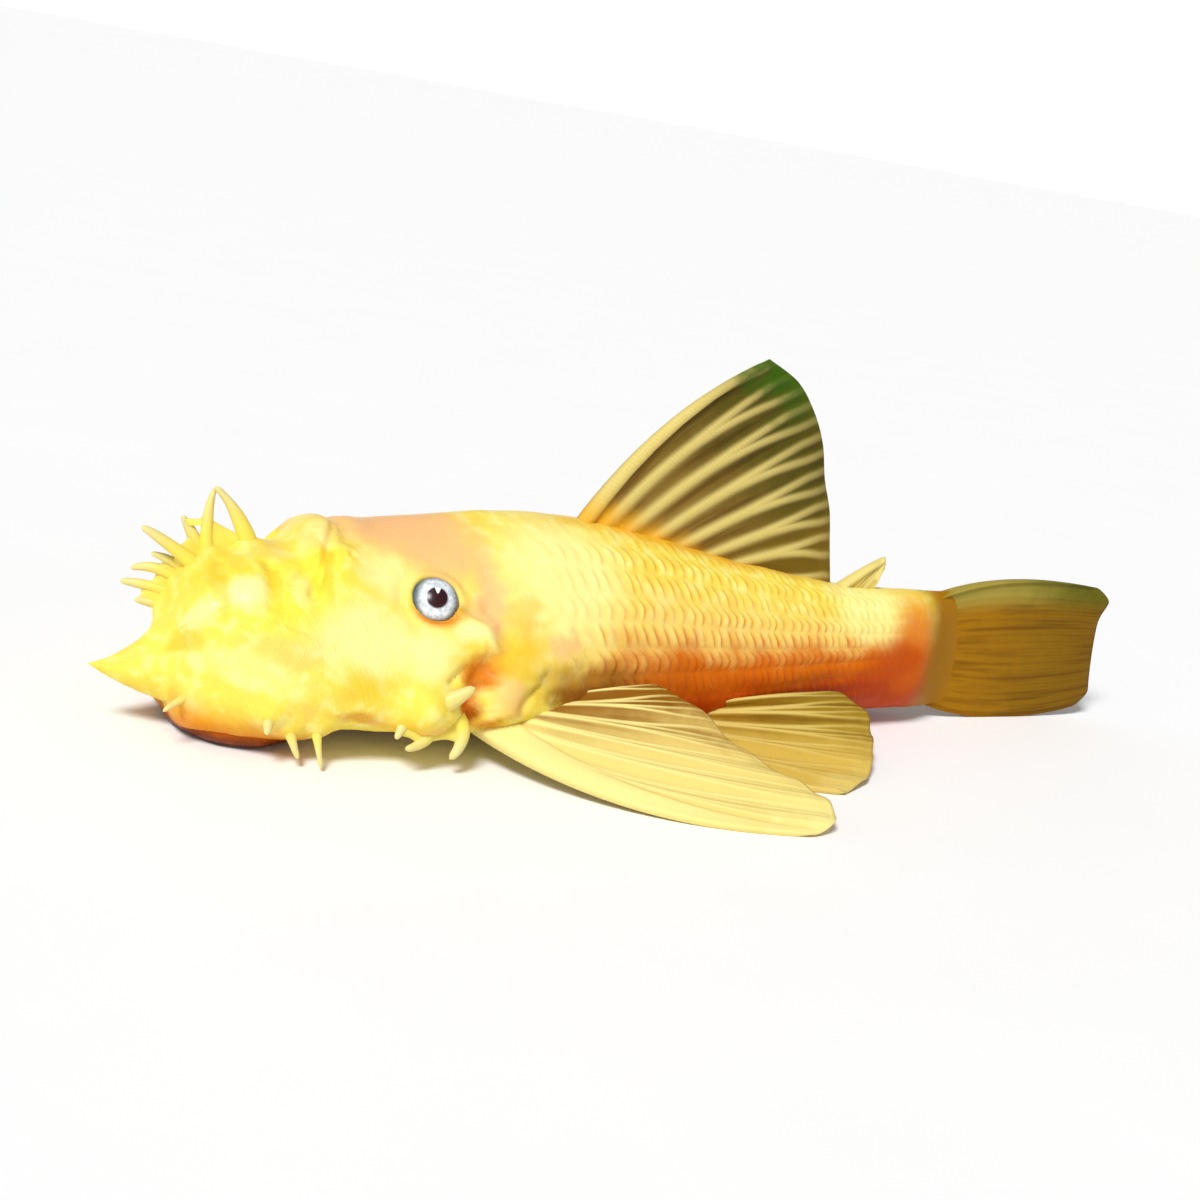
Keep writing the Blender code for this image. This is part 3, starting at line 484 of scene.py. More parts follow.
def station_curve(column):
    """Smooth curve through one column of the body stations, with no overshoot."""
    x = np.array([row[0] for row in BODY_STATIONS])
    y = np.array([row[column] for row in BODY_STATIONS])
    step = np.diff(x)
    slope = np.diff(y) / step
    tangent = np.zeros_like(y)
    for i in range(1, len(x) - 1):
        if slope[i - 1] * slope[i] > 0.0:
            tangent[i] = 2.0 * slope[i - 1] * slope[i] / (slope[i - 1] + slope[i])

    def value(along):
        a = np.clip(along, x[0], x[-1])
        i = np.minimum(np.searchsorted(x, a, side="right") - 1, len(step) - 1)
        f = (a - x[i]) / step[i]
        rise = y[i + 1] - y[i]
        lean = (tangent[i] * step[i] - rise) * (1 - f) - (tangent[i + 1] * step[i] - rise) * f
        return y[i] + rise * f + f * (1 - f) * lean

    return value


HALF_WIDTH, BACK, BELLY, WIDEST, ROUND_ABOVE, ROUND_BELOW = (
    station_curve(column) for column in range(1, 7))


def nose(along, depth):
    """Share of its full size that the snout has reached at a place along it."""
    left = np.clip(1.0 - (along - SNOUT_START) / depth, 0.0, 1.0)
    return np.sqrt(1.0 - left ** SNOUT_POWER)


def quarter(wide, high, roundness, share):
    """Points on quarter superellipses, even shares of their length from the side."""
    angle = np.linspace(0.0, math.pi / 2, QUARTER_POINTS)
    power = (2.0 / roundness)[:, None]
    x = wide[:, None] * np.cos(angle) ** power
    z = high[:, None] * np.sin(angle) ** power
    x[:, -1] = 0.0
    steps = np.hypot(np.diff(x, axis=1), np.diff(z, axis=1))
    run = np.concatenate([np.zeros((len(wide), 1)), np.cumsum(steps, axis=1)], axis=1)
    reach = share * run[:, -1]
    low = np.clip((run <= reach[:, None]).sum(axis=1) - 1, 0, len(angle) - 2)
    row = np.arange(len(wide))
    part = (reach - run[row, low]) / (run[row, low + 1] - run[row, low] + 1e-12)
    return (x[row, low] + (x[row, low + 1] - x[row, low]) * part,
            z[row, low] + (z[row, low + 1] - z[row, low]) * part)


def body_section(along, around):
    """Out and up of the plain body at arrays of places."""
    wide = HALF_WIDTH(along) * nose(along, SNOUT_PLAN)
    taper = 1.0 - (1.0 - PEDUNCLE_END_SHARE) * smooth_share(PEDUNCLE_TAPER, TAIL_END, along)
    top = SNOUT_AXIS + (BACK(along) - SNOUT_AXIS) * nose(along, SNOUT_TOP)
    rim = 1.0 - smooth_share(*SNOUT_RIM_END, along)
    cheek = (1.0 - rim) * (1.0 - smooth_share(*CHEEK_END, along))
    belly = BELLY(along) - SNOUT_RIM_DROP * rim + CHEEK_LIFT * cheek
    low = SNOUT_AXIS + (belly - SNOUT_AXIS) * nose(along, SNOUT_UNDER)
    level = SNOUT_AXIS + (WIDEST(along) - SNOUT_AXIS) * nose(along, SNOUT_TOP)
    out_above, up_above = quarter(wide, top - level, ROUND_ABOVE(along), np.maximum(around, 0.0))
    out_below, up_below = quarter(wide, level - low, ROUND_BELOW(along), np.maximum(-around, 0.0))
    above = around >= 0.0
    return (np.where(above, out_above, out_below) * taper,
            np.where(above, level + up_above, level - up_below))


def skin_place(along, around, side):
    """Point in metres on the plain body."""
    out, up = body_section(np.array([along]), np.array([around]))
    return place(along, side * out[0], up[0])


def skin_normal(along, around, side):
    """Direction out of the plain body."""
    step = 0.004
    low = skin_place(along, around - step, side)
    high = skin_place(along, around + step, side)
    front = skin_place(along - step, around, side)
    rear = skin_place(along + step, around, side)
    return ((rear - front).cross(high - low) * side).normalized()


def grid_place(along, around, side):
    """Point on the plain body in the skin grid's own measure: out, along and up."""
    found = skin_place(along, around, side) / STANDARD_LENGTH
    return np.array([found.x, found.y + MIDDLE_ALONG, found.z])


def to_side(direction, side):
    """A direction of the left side, turned over for the right one."""
    return Vector((side * direction.x, direction.y, direction.z))


def new_object(name, mesh):
    """Object of a mesh, a lamp or a camera, put into the scene."""
    thing = bpy.data.objects.new(name, mesh)
    bpy.context.scene.collection.objects.link(thing)
    return thing


def mesh_piece(name, points, faces, values):
    """Smooth mesh object, with its faces turned out and named values on its points."""
    mesh = bpy.data.meshes.new(name)
    mesh.from_pydata([tuple(p) for p in points], [], faces)
    for label, numbers in values.items():
        layer = mesh.attributes.new(label, "FLOAT", "POINT")
        layer.data.foreach_set("value", np.asarray(numbers, dtype=np.float32))
    shape = bmesh.new()
    shape.from_mesh(mesh)
    bmesh.ops.recalc_face_normals(shape, faces=shape.faces)
    if shape.calc_volume(signed=True) < 0.0:
        bmesh.ops.reverse_faces(shape, faces=shape.faces)
    shape.to_mesh(mesh)
    shape.free()
    mesh.shade_smooth()
    return new_object(name, mesh)


def tube_faces(rings, sides):
    """Faces of a closed tube of rings, with a fan to a point at each end."""
    faces = []
    first = rings * sides
    last = first + 1
    for j in range(sides):
        k = (j + 1) % sides
        for i in range(rings - 1):
            near = i * sides
            far = near + sides
            faces.append((near + j, near + k, far + k, far + j))
        faces.append((first, k, j))
        faces.append((last, (rings - 1) * sides + j, (rings - 1) * sides + k))
    return faces


def closed_sheet(columns, length):
    """Faces of a sheet with two sides: both faces and the rim that joins them."""
    back = columns * length
    faces = []
    for i in range(columns - 1):
        for j in range(length - 1):
            a = i * length + j
            b = a + length
            faces.append((a, b, b + 1, a + 1))
            faces.append((back + a, back + a + 1, back + b + 1, back + b))
    rim = [i * length for i in range(columns)]
    rim += [(columns - 1) * length + j for j in range(1, length)]
    rim += [i * length + length - 1 for i in range(columns - 2, -1, -1)]
    rim += list(range(length - 2, 0, -1))
    for a, b in zip(rim, rim[1:] + rim[:1]):
        faces.append((a, back + a, back + b, b))
    return faces


def two_faces(middle, offset):
    """Points of a sheet's two faces, one after the other."""
    return np.concatenate([(middle + offset).reshape(-1, 3), (middle - offset).reshape(-1, 3)])


def sheet_normals(points):
    """Directions square to a sheet, and how far apart its columns are."""
    over, forth = np.gradient(points, axis=(0, 1))
    normal = np.cross(over, forth)
    normal /= np.linalg.norm(normal, axis=2, keepdims=True) + 1e-15
    return normal, np.linalg.norm(over, axis=2)


def shifted(faces, first):
    """Faces whose points are counted from a later one."""
    return [tuple(first + k for k in face) for face in faces]


def finish_piece(piece, material, slot, *nodes):
    """Give a piece its material and its place in the frame."""
    piece.data.materials.append(material)
    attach(piece, "root")
    if nodes:
        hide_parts(*nodes)


def skin_columns():
    """Around and side of each column of the skin, once round from the back."""
    above = np.linspace(1.0, 0.0, COLUMNS_ABOVE + 1)[:-1]
    below = np.linspace(0.0, -1.0, COLUMNS_BELOW + 1)
    left = np.concatenate([above, below])
    right = left[-2:0:-1]
    around = np.concatenate([left, right])
    side = np.concatenate([np.ones(len(left)), -np.ones(len(right))])
    return around, side


def plate_rows(around):
    """Row of plates that each place is in, and its share of the way across the row."""
    edges = np.array(ROW_EDGES)
    row = np.clip(np.searchsorted(edges, around, side="right") - 1, 0, len(edges) - 2)
    return row, np.clip((around - edges[row]) / (edges[row + 1] - edges[row]), 0.0, 1.0)


def plate_swell(around):
    """0 at the seams between rows of plates and 1 in the middle of a row."""
    return arch(plate_rows(around)[1])


def plate_station(run):
    """Place along the back where a plate column ends, counted from the first."""
    column = max(run, 0.0)
    extra = (FIRST_PITCH - LAST_PITCH) * PITCH_FADE * (1.0 - math.exp(-column / PITCH_FADE))
    return PLATE_START + FIRST_PITCH * min(run, 0.0) + LAST_PITCH * column + extra


def plate_shift(run, around):
    """How far tail-ward each column's edges lie: a slant, bulging in each row."""
    column = max(run, 0.0)
    slant = FRONT_SLANT + (REAR_SLANT - FRONT_SLANT) * min(column / PLATE_COUNT, 1.0)
    wave, ripple = PLATE_WANDER_SCALES
    wander = [noise.noise(Vector((run * wave, a * ripple, 0.0))) for a in around]
    stagger = np.full(len(around), ROW_STAGGER[0])
    for row, edge in enumerate(ROW_EDGES[1:-1]):
        step = ROW_STAGGER[row + 1] - ROW_STAGGER[row]
        stagger += step * smooth_share(edge - ROW_SEAM, edge + ROW_SEAM, around)
    pitch = LAST_PITCH + (FIRST_PITCH - LAST_PITCH) * math.exp(-column / PITCH_FADE)
    offset = PLATE_BULGE * plate_swell(around) + stagger + PLATE_WANDER * np.array(wander)
    return slant * (PLATE_LEVEL - np.clip(around, ROW_EDGES[0], 1.0)) + pitch * offset


def skin_rings():
    """Plate columns passed at each ring along the back, closest where the snout turns."""
    span = PLATE_START - FLAP_ROOT_ALONG
    even = np.linspace(0.0, 1.0, HEAD_RINGS + 1)[:-1]
    crowded = 1.0 - np.cos(0.5 * math.pi * even)
    head = span * (SNOUT_CROWDING * crowded + (1.0 - SNOUT_CROWDING) * even) - span
    plates = [column + np.array(PLATE_RINGS) for column in range(PLATE_COUNT)]
    end = PLATE_COUNT + np.linspace(0.0, 1.0, END_RINGS) * (TAIL_END - PLATE_END) / LAST_PITCH
    return np.concatenate([head / FIRST_PITCH, *plates, end])


def plain_skin():
    """Grid of the body behind the flap: plate columns passed, along, around and points."""
    around, side = skin_columns()
    runs = skin_rings()
    along = np.empty((len(runs), len(around)))
    points = np.empty((len(runs), len(around), 3))
    for i, run in enumerate(runs):
        station = min(plate_station(run), TAIL_END)
        into = smooth_share(PLATE_START - SLANT_BLEND, PLATE_START, station)
        out_of = 1.0 - smooth_share(TAIL_END - SLANT_BLEND, TAIL_END, station)
        along[i] = station + plate_shift(run, around) * into * out_of
        out, up = body_section(along[i], around)
        slant = PEDUNCLE_END_SLANT * smooth_share(PEDUNCLE_TAPER, TAIL_END, station)
        points[i, :, 0] = side * out
        points[i, :, 1] = along[i] + slant * (WIDEST(TAIL_END) - up)
        points[i, :, 2] = up
    for _ in range(ROUNDING_PASSES):
        points = 0.25 * np.roll(points, 1, 1) + 0.5 * points + 0.25 * np.roll(points, -1, 1)
    runs = np.broadcast_to(runs[:, None], along.shape)
    return runs, along, np.broadcast_to(around, along.shape), points


def flap_rings(root):
    """Rings that carry the snout's front forward to the tip of its flap."""
    middle = 0.5 * (root.max(axis=0) + root.min(axis=0))
    tip = np.array([FLAP_TIP_OUT, FLAP_TIP_ALONG, FLAP_TIP_UP])
    sag = 0.5 * (middle + tip) - np.array([0.0, 0.0, FLAP_SAG])
    offset = root - middle
    upper = smooth_share(*FLAP_UPPER, offset[:, 2:] / offset[:, 2].max())
    rings = []
    for i in range(FLAP_RINGS):
        share = ((i + 0.25) / FLAP_RINGS) ** FLAP_CROWDING
        above = (1.0 - FLAP_NECK) * share ** FLAP_TAPER_ABOVE + FLAP_NECK * share ** FLAP_NECK_POWER
        below = share ** FLAP_TAPER_BELOW
        rings.append(bend(tip, sag, middle, share) + offset * (below + (above - below) * upper))
    return np.array(rings)


def grid_normals(points):
    """Directions out of a closed grid of rings."""
    forth = np.gradient(points, axis=0)
    over = np.roll(points, -1, 1) - np.roll(points, 1, 1)
    normal = np.cross(forth, over)
    normal /= np.linalg.norm(normal, axis=2, keepdims=True) + 1e-12
    middle = points.mean(axis=1, keepdims=True)
    if ((points - middle) * normal).sum() < 0.0:
        normal = -normal
    return normal


def fold_height(along, around):
    """Height of the skin's folds and bulges, where folds that meet run into each other."""
    grooves = np.zeros_like(along)
    ridges = np.zeros_like(along)
    for along_a, around_a, along_b, around_b, width, rise in FOLDS:
        line = np.array([along_b - along_a, (around_b - around_a) * QUARTER_LENGTH])
        x = along - along_a
        y = (around - around_a) * QUARTER_LENGTH
        share = np.clip((x * line[0] + y * line[1]) / line.dot(line), 0.0, 1.0)
        height = rise * bell(np.hypot(x - share * line[0], y - share * line[1]), width)
        grooves = np.minimum(grooves, height)
        ridges = np.maximum(ridges, height)
    bulges = np.zeros_like(along)
    for middle_along, middle_around, reach_along, reach_around, rise in BULGES:
        bulges += rise * bell(np.hypot((along - middle_along) / reach_along,
                                       (around - middle_around) / reach_around), 1.0)
    return grooves + ridges + bulges


def plate_chance(column, row):
    """Chance height of one plate, the same in every run."""
    return noise.noise(Vector((column * 0.9, row * 1.7, 4.0)))


def plate_height(runs, along, around):
    """Height of the bony plates, and a mask of painted shade at the foot of each plate's edge."""
    share = runs - np.floor(runs)
    past = (share - PLATE_STEP) / (1.0 - PLATE_STEP)
    seam_shade = np.where(share < PLATE_STEP, share / PLATE_STEP, bell(past, PLATE_FOOT))
    ramp = np.where(share < PLATE_STEP, 1.0 - share / PLATE_STEP, past)
    swell = plate_swell(around)
    plates = zip(np.floor(runs).ravel(), plate_rows(around)[0].ravel())
    chance = np.array([plate_chance(column, row) for column, row in plates])
    uneven = 1.0 + PLATE_UNEVENNESS * chance.reshape(runs.shape)
    plated = smooth_share(PLATE_START, PLATE_START + PLATE_FADE_IN, along)
    plated = plated * (1.0 - smooth_share(*PLATE_FADE_OUT, along))
    plated = plated * smooth_share(*ROW_FADE_IN, around)
    plated = plated * (1.0 - PLATE_BACK_LOSS * smooth_share(*PLATE_BACK_FADE, around))
    plated = plated * np.where(runs < 0.0, 0.0, 1.0)
    height = PLATE_RISE * uneven * ramp * swell + PLATE_CROWN * swell
    return height * plated, seam_shade * plated * uneven * swell


def raise_round_eyes(points):
    """Sink the skin behind each eye and raise a lid round it; also a mask of painted shade under
    each lid.
    """
    lift = np.zeros(points.shape[:2])
    lower = np.zeros(points.shape[:2])
    for side in (1, -1):
        aim = np.array(to_side(EYE_AIM, side))
        offset = points - np.array([side * EYE_OUT, EYE_ALONG, EYE_UP])
        depth = offset @ aim
        radius = np.linalg.norm(offset - depth[..., None] * aim, axis=2) / EYE_RADIUS
        change = EYE_HOLLOW * (1.0 - smooth_share(*EYE_HOLLOW_EDGE, radius))
        for height, width, middle in (EYE_LID, EYE_MOAT):
            change += height * bell(radius, width, middle)
        beneath = smooth_share(*EYE_BENEATH, offset[..., 2] / EYE_RADIUS)
        near = depth > -EYE_NEAR
        lift += np.where(near, change, 0.0)
        # Mask of painted shade under the lid
        lower += np.where(near, bell(radius, *EYE_SHADE) * beneath, 0.0)
    return lift, lower


def raise_round_nostrils(points):
    """Raise a rim round each nostril and sink its pit."""
    lift = np.zeros(points.shape[:2])
    for side in (1, -1):
        offset = points - grid_place(NOSTRIL_ALONG, NOSTRIL_AROUND, side)
        radius = np.linalg.norm(offset, axis=2) / NOSTRIL_RADIUS
        lift += NOSTRIL_RIM * bell(radius, 0.40, 1.0)
        lift -= NOSTRIL_PIT * (1.0 - smooth_share(0.20, 0.80, radius))
    return lift


def bristle_sets():
    """The crest's bristles, and each side's margin bristles and cheek spines."""
    draw = random.Random(SEED)
    crest = [Bristle(-1, *row) for row in CREST_BRISTLES]
    left = [Bristle(1, *row) for row in MARGIN_BRISTLES + CHEEK_SPINES]
    return crest, left, [far_side(bristle, draw) for bristle in left]


def far_side(bristle, draw):
    """The matching bristle of the right side, a little different in length and place."""
    change = 1.0 + FAR_SIDE_CHANGE * (2.0 * draw.random() - 1.0)
    shift = FAR_SIDE_SHIFT * (2.0 * draw.random() - 1.0)
    return bristle._replace(side=-bristle.side, along=bristle.along + shift,
                            ahead=bristle.ahead * change, out=-bristle.out * change,
                            up=bristle.up * change)


def raise_round_bristles(points):
    """Raise a mound under each bristle."""
    lift = np.zeros(points.shape[:2])
    for bristle in sum(bristle_sets(), []):
        root = grid_place(bristle.along, bristle.around, bristle.side)
        distance = np.linalg.norm(points - root, axis=2)
        mound = CREST_MOUND if bristle.along < CHEEK_START else CHEEK_MOUND
        lift = np.maximum(lift, mound * bristle.girth * bell(distance, MOUND_REACH * bristle.girth))
    return lift


def lift_over_mouth(points):
    """Fold the underside up inside the rim of the snout, to leave room for the lips."""
    share = np.hypot((points[..., 1] - MOUTH_ALONG) / MOUTH_HALF_LENGTH,
                     points[..., 0] / MOUTH_HALF_WIDTH)
    under = (1.0 - smooth_share(*MOUTH_FOLD, share)) * (points[..., 2] < MOUTH_TOP)
    points[..., 2] += (MOUTH_TOP - points[..., 2]) * under


def skin_grain(points):
    """Slow uneven swells of the flesh."""
    coarse, fine = GRAIN_SCALES
    swells = [noise.noise(Vector(point) * coarse) + 0.5 * noise.noise(Vector(point) * fine)
              for point in points.reshape(-1, 3)]
    return GRAIN_HEIGHT * np.array(swells).reshape(points.shape[:2])


def make_skin(material):
    """One skin from the flap's tip to the tail, with plates, folds, lids and mounds."""
    runs, along, around, points = plain_skin()
    flap = flap_rings(points[0])
    points = np.concatenate([flap, points])
    front = np.broadcast_to(flap[:, :1, 1], (FLAP_RINGS, along.shape[1]))
    along = np.concatenate([np.minimum(front, FLAP_ROOT_ALONG), along])
    runs = np.concatenate([np.full(front.shape, -1.0), runs])
    around = np.concatenate([around[:FLAP_RINGS], around])
    normal = grid_normals(points)
    # 'edges' is a mask of painted shade at the foot of each plate's edge
    plates, edges = plate_height(runs, along, around)
    lids, painted_eye_shade = raise_round_eyes(points)
    lift = plates + skin_grain(points)
    lift += fold_height(along, around) * smooth_share(0.0, 0.02, along)
    lift += lids + raise_round_nostrils(points)
    lift += raise_round_bristles(points)
    points = points + normal * lift[..., None]
    points[..., 2] = np.maximum(points[..., 2], SKIN_LOWEST)
    lift_over_mouth(points)
    ends = np.stack([points[0].mean(axis=0), points[-1].mean(axis=0)])
    ends[0, 1] -= FLAP_POINT
    shape = np.concatenate([points.reshape(-1, 3), ends])
    metres = (shape - np.array([0.0, MIDDLE_ALONG, 0.0])) * STANDARD_LENGTH
    # 'socket' carries the mask of painted shade under each eye
    values = {"along": along, "around": around, "edge": edges, "socket": painted_eye_shade}
    closed = {name: np.append(grid.ravel(), [grid.flat[0], grid.flat[-1]])
              for name, grid in values.items()}
    skin = mesh_piece("skin", metres, tube_faces(*points.shape[:2]), closed)
    finish_piece(skin, material, "skin", "head", "trunk", "tail")


def bend(start, middle, end, share):
    """Point on a curve that leans towards its middle point."""
    back = 1.0 - share
    return start * (back * back) + middle * (2 * back * share) + end * (share * share)


def bristle_line(bristle):
    """Root, middle and tip of the curve that a bristle follows."""
    where = bristle.along, bristle.around, bristle.side
    skin = skin_place(*where)
    normal = skin_normal(*where)
    reach = Vector((bristle.out, -bristle.ahead, bristle.up)) * STANDARD_LENGTH
    sink = (BRISTLE_SINK + 0.5 * bristle.girth) * STANDARD_LENGTH
    root = skin - (reach.normalized() + normal) * sink
    tip = skin + reach
    lean = normal * (BRISTLE_LEAN * reach.length)
    hook = Vector((0.0, -bristle.bend_ahead, bristle.bend_up)) * STANDARD_LENGTH
    return root, (root + tip) * 0.5 + lean + hook * 2.0, tip


def bristle_size(bristle, share):
    """Half thickness at a share of a bristle: flared at its root and round at its tip."""
    size = BRISTLE_BLUNT + (1.0 - BRISTLE_BLUNT) * (1.0 - share) ** bristle.taper
    size += BRISTLE_FLARE * math.exp(-share / BRISTLE_FLARE_REACH)
    swell = math.sin(BRISTLE_SWELLS * share + BRISTLE_SWELL_SHIFT * bristle.along)
    size *= 1.0 + BRISTLE_UNEVENNESS * swell
    past = max(0.0, share - BRISTLE_TIP) / (BRISTLE_END - BRISTLE_TIP)
    size *= math.sqrt(max(0.0, 1.0 - past ** 2)) + 0.02
    return bristle.girth * size * STANDARD_LENGTH


def bristle_tube(bristle, points, faces, reaches):
    """Add one fleshy bristle."""
    line = bristle_line(bristle)
    root, _, tip = line
    steady = UPWARD if abs((tip - root).normalized().z) < 0.75 else TAILWARD
    first = len(points)
    for i in range(BRISTLE_RINGS):
        share = i / (BRISTLE_RINGS - 1) * BRISTLE_END
        here = bend(*line, share)
        aim = (bend(*line, share + 0.01) - here).normalized()
        across = aim.cross(steady).normalized()
        over = across.cross(aim).normalized()
        size = bristle_size(bristle, share)
        for turn in turns(BRISTLE_SIDES, 0.5):
            points.append(here + (across * math.cos(turn) + over * math.sin(turn)) * size)
            reaches.append(share)
    points += [root, tip]
    reaches += [0.0, 1.0]
    faces += shifted(tube_faces(BRISTLE_RINGS, BRISTLE_SIDES), first)


def bristle_web(bristles, web, points, faces, reaches):
    """Add a thin web of skin between two bristles, measured from where they leave the skin."""
    one, other, start, reach_one, reach_other, hollow = web
    arms = []
    for bristle, reach in ((bristles[one], reach_one), (bristles[other], reach_other)):
        line = bristle_line(bristle)
        length = Vector((bristle.ahead, bristle.out, bristle.up)).length * STANDARD_LENGTH
        arms.append((line, reach, 1.0 - length / (line[2] - line[0]).length))
    grid = np.empty((WEB_POINTS, WEB_POINTS, 3))
    shares = np.linspace(0.0, 1.0, WEB_POINTS)
    for i, part in enumerate(shares):
        pull = 1.0 - hollow * arch(part)
        for j, share in enumerate(shares):
            ends = []
            for line, reach, hidden in arms:
                edge = hidden + (1.0 - hidden) * reach * pull
                begin = hidden + (1.0 - hidden) * start * reach if start else 0.0
                ends.append(bend(*line, begin + (edge - begin) * share))
            grid[i, j] = ends[0].lerp(ends[1], part)
    along_web = start + (1.0 - start) * shares
    half = 0.5 * (WEB_ROOT + (WEB_EDGE - WEB_ROOT) * along_web) * STANDARD_LENGTH
    past = np.clip((shares - WEB_THINNING) / (1.0 - WEB_THINNING), 0.0, 0.95)
    half = half * np.sqrt(1.0 - past ** 2)
    first = len(points)
    sheet = two_faces(grid, sheet_normals(grid)[0] * half[None, :, None])
    points += [Vector(point) for point in sheet]
    reaches += list(np.tile(0.5 * shares, 2 * WEB_POINTS))
    faces += shifted(closed_sheet(WEB_POINTS, WEB_POINTS), first)


def make_bristles(material):
    """All bristles and the webs between them, as one piece."""
    points, faces, reaches = [], [], []
    for bristles, webs in zip(bristle_sets(), (CREST_WEBS, SIDE_WEBS, SIDE_WEBS)):
        for bristle in bristles:
            bristle_tube(bristle, points, faces, reaches)
        for web in webs:
            bristle_web(bristles, web, points, faces, reaches)
    piece = mesh_piece("bristles", points, faces, {"reach": reaches})
    finish_piece(piece, material, "skin")


def make_eye(side, hand, material):
    """Eyeball, with a look direction that its iris and pupil are set round."""
    centre = place(EYE_ALONG, side * EYE_OUT, EYE_UP)
    radius = EYE_RADIUS * STANDARD_LENGTH
    depth = EYE_DEPTH * STANDARD_LENGTH
    aim = to_side(EYE_AIM, side)
    look = to_side(EYE_LOOK, side)
    across = aim.cross(UPWARD).normalized()
    over = across.cross(aim).normalized()
    level = look.cross(UPWARD).normalized() * side
    upright = (look.cross(level) * side).normalized()
    if upright.z < 0.0:
        upright = -upright
    points = []
    for i in range(1, EYE_RINGS):
        tip = math.pi * i / EYE_RINGS
        for turn in turns(EYE_SIDES):
            rim = across * math.cos(turn) + over * math.sin(turn)
            points.append(rim * (math.sin(tip) * radius) + aim * (math.cos(tip) * depth))
    points += [aim * depth, -aim * depth]
    values = {"spread": [], "level": [], "upright": []}
    for point in points:
        scaled = point / radius
        flat = Vector((scaled.dot(level), scaled.dot(upright)))
        values["spread"].append(flat.length if scaled.dot(look) > 0.0 else 2.0)
        values["level"].append(flat.x)
        values["upright"].append(flat.y)
    eye = mesh_piece("eye_ball_" + hand, [centre + point for point in points],
                     tube_faces(EYE_RINGS - 1, EYE_SIDES), values)
    finish_piece(eye, material, "eye", "eye_" + hand)


def make_mouth(material):
    """Sucker mouth: rounded lips round a shallow hollow with the mouth slit."""
    points, height = [], []
    for share, level in LIP_PROFILE:
        pull = LIP_SLIT_WIDTH + (1.0 - LIP_SLIT_WIDTH) * min(1.0, share / LIP_SLIT_REACH)
        rippled = smooth_share(*LIP_RIPPLE_START, share)
        for turn in turns(LIP_SIDES):
            ripple = 1.0 + LIP_RIPPLE * math.sin(LIP_RIPPLES * turn) * rippled
            points.append(place(MOUTH_ALONG - MOUTH_HALF_LENGTH * share * pull * math.cos(turn),
                                MOUTH_HALF_WIDTH * share * ripple * math.sin(turn),
                                MOUTH_TOP * level))
            height.append(level)
    points.append(place(MOUTH_ALONG, 0.0, MOUTH_TOP))
    points.append(place(MOUTH_ALONG, 0.0, LIP_HOLLOW * MOUTH_TOP))
    height += [1.0, 0.5]
    faces = tube_faces(len(LIP_PROFILE), LIP_SIDES)
    mouth = mesh_piece("lips", points, faces, {"height": height})
    finish_piece(mouth, material, "lips", "mouth")


def across_rays(rays, position):
    """Root, middle and tip of a ray at any position between the named rays."""
    last = len(rays) - 1
    i = int(min(math.floor(position), last - 1))
    f = position - i
    before, here, there, after = (rays[min(max(k, 0), last)] for k in (i - 1, i, i + 1, i + 2))
    made = []
    for a, b, c, d in zip(before, here, there, after):
        lead = (c - a) * 0.5
        trail = (d - b) * 0.5
        made.append(b * (2 * f ** 3 - 3 * f ** 2 + 1) + lead * (f ** 3 - 2 * f ** 2 + f)
                    + c * (3 * f ** 2 - 2 * f ** 3) + trail * (f ** 3 - f ** 2))
    return made


def branch_offsets(reach, forks):
    """Where a ray's branches lie at a reach, as shares of the gap, and how wide they are."""
    offsets = [0.0]
    spread = BRANCH_SPREAD
    width = 1.0
    for fork in forks:
        if reach > fork:
            part = spread * min(1.0, (reach - fork) / (1.0 - fork) * BRANCH_HASTE)
            offsets = [offset + way * part for offset in offsets for way in (-1.0, 1.0)]
            slim = min(1.0, (reach - fork) / BRANCH_SLIMMING_REACH)
            width *= 1.0 - BRANCH_SLIMMING * slim
        spread *= 0.5
    return offsets, width


def fin_sheet(rays, per_gap, steps, scallop, round_front, round_rear):
    """Grid of points over a fin's middle sheet, with each column's place among the rays."""
    gaps = len(rays) - 1
    positions = np.linspace(0.0, gaps, gaps * per_gap + 1)
    grid = []
    for position in positions:
        lead = position / gaps
        sag = 1.0 - scallop * arch(position - math.floor(position))
        sag -= round_front * max(0.0, 1.0 - lead / FIN_CORNER) ** 2
        sag -= round_rear * max(0.0, 1.0 - (1.0 - lead) / FIN_CORNER) ** 2
        ray = across_rays(rays, position)
        grid.append([tuple(bend(*ray, sag * step / steps)) for step in range(steps + 1)])
    return positions, np.array(grid)


def ray_relief(positions, gap_width, reach, forks, ray_height, ray_width):
    """Height of the forking rays over a fin, and how near each point is to a ray."""
    gaps = int(round(positions[-1]))
    ray = np.zeros(gap_width.shape)
    for j, part in enumerate(reach):
        offsets, width = branch_offsets(part, forks)
        width *= ray_width * (1.0 - RAY_NARROWING * part)
        for centre in (i + offset for i in range(gaps + 1) for offset in offsets):
            if -0.01 <= centre <= gaps + 0.01:
                distance = np.abs(positions - centre) * gap_width[:, j]
                ray[:, j] = np.maximum(ray[:, j], bell(distance, width))
    return ray, ray * ray_height * (1.0 - RAY_LOWERING * reach)


def spine_relief(positions, gap_width, reach, spine_width):
    """Height of the rounded spine along a fin's leading edge, and its mask."""
    width = spine_width * (1.0 - SPINE_NARROWING * reach)
    share = 2.0 * positions[:, None] * gap_width / width - 1.0
    rod = np.sqrt(1.0 - np.clip(share, -1.0, 1.0) ** 2)
    height = rod * SPINE_HEIGHT * (1.0 - SPINE_LOWERING * reach)
    return height, 1.0 - smooth_share(*SPINE_COLOUR_END, share)


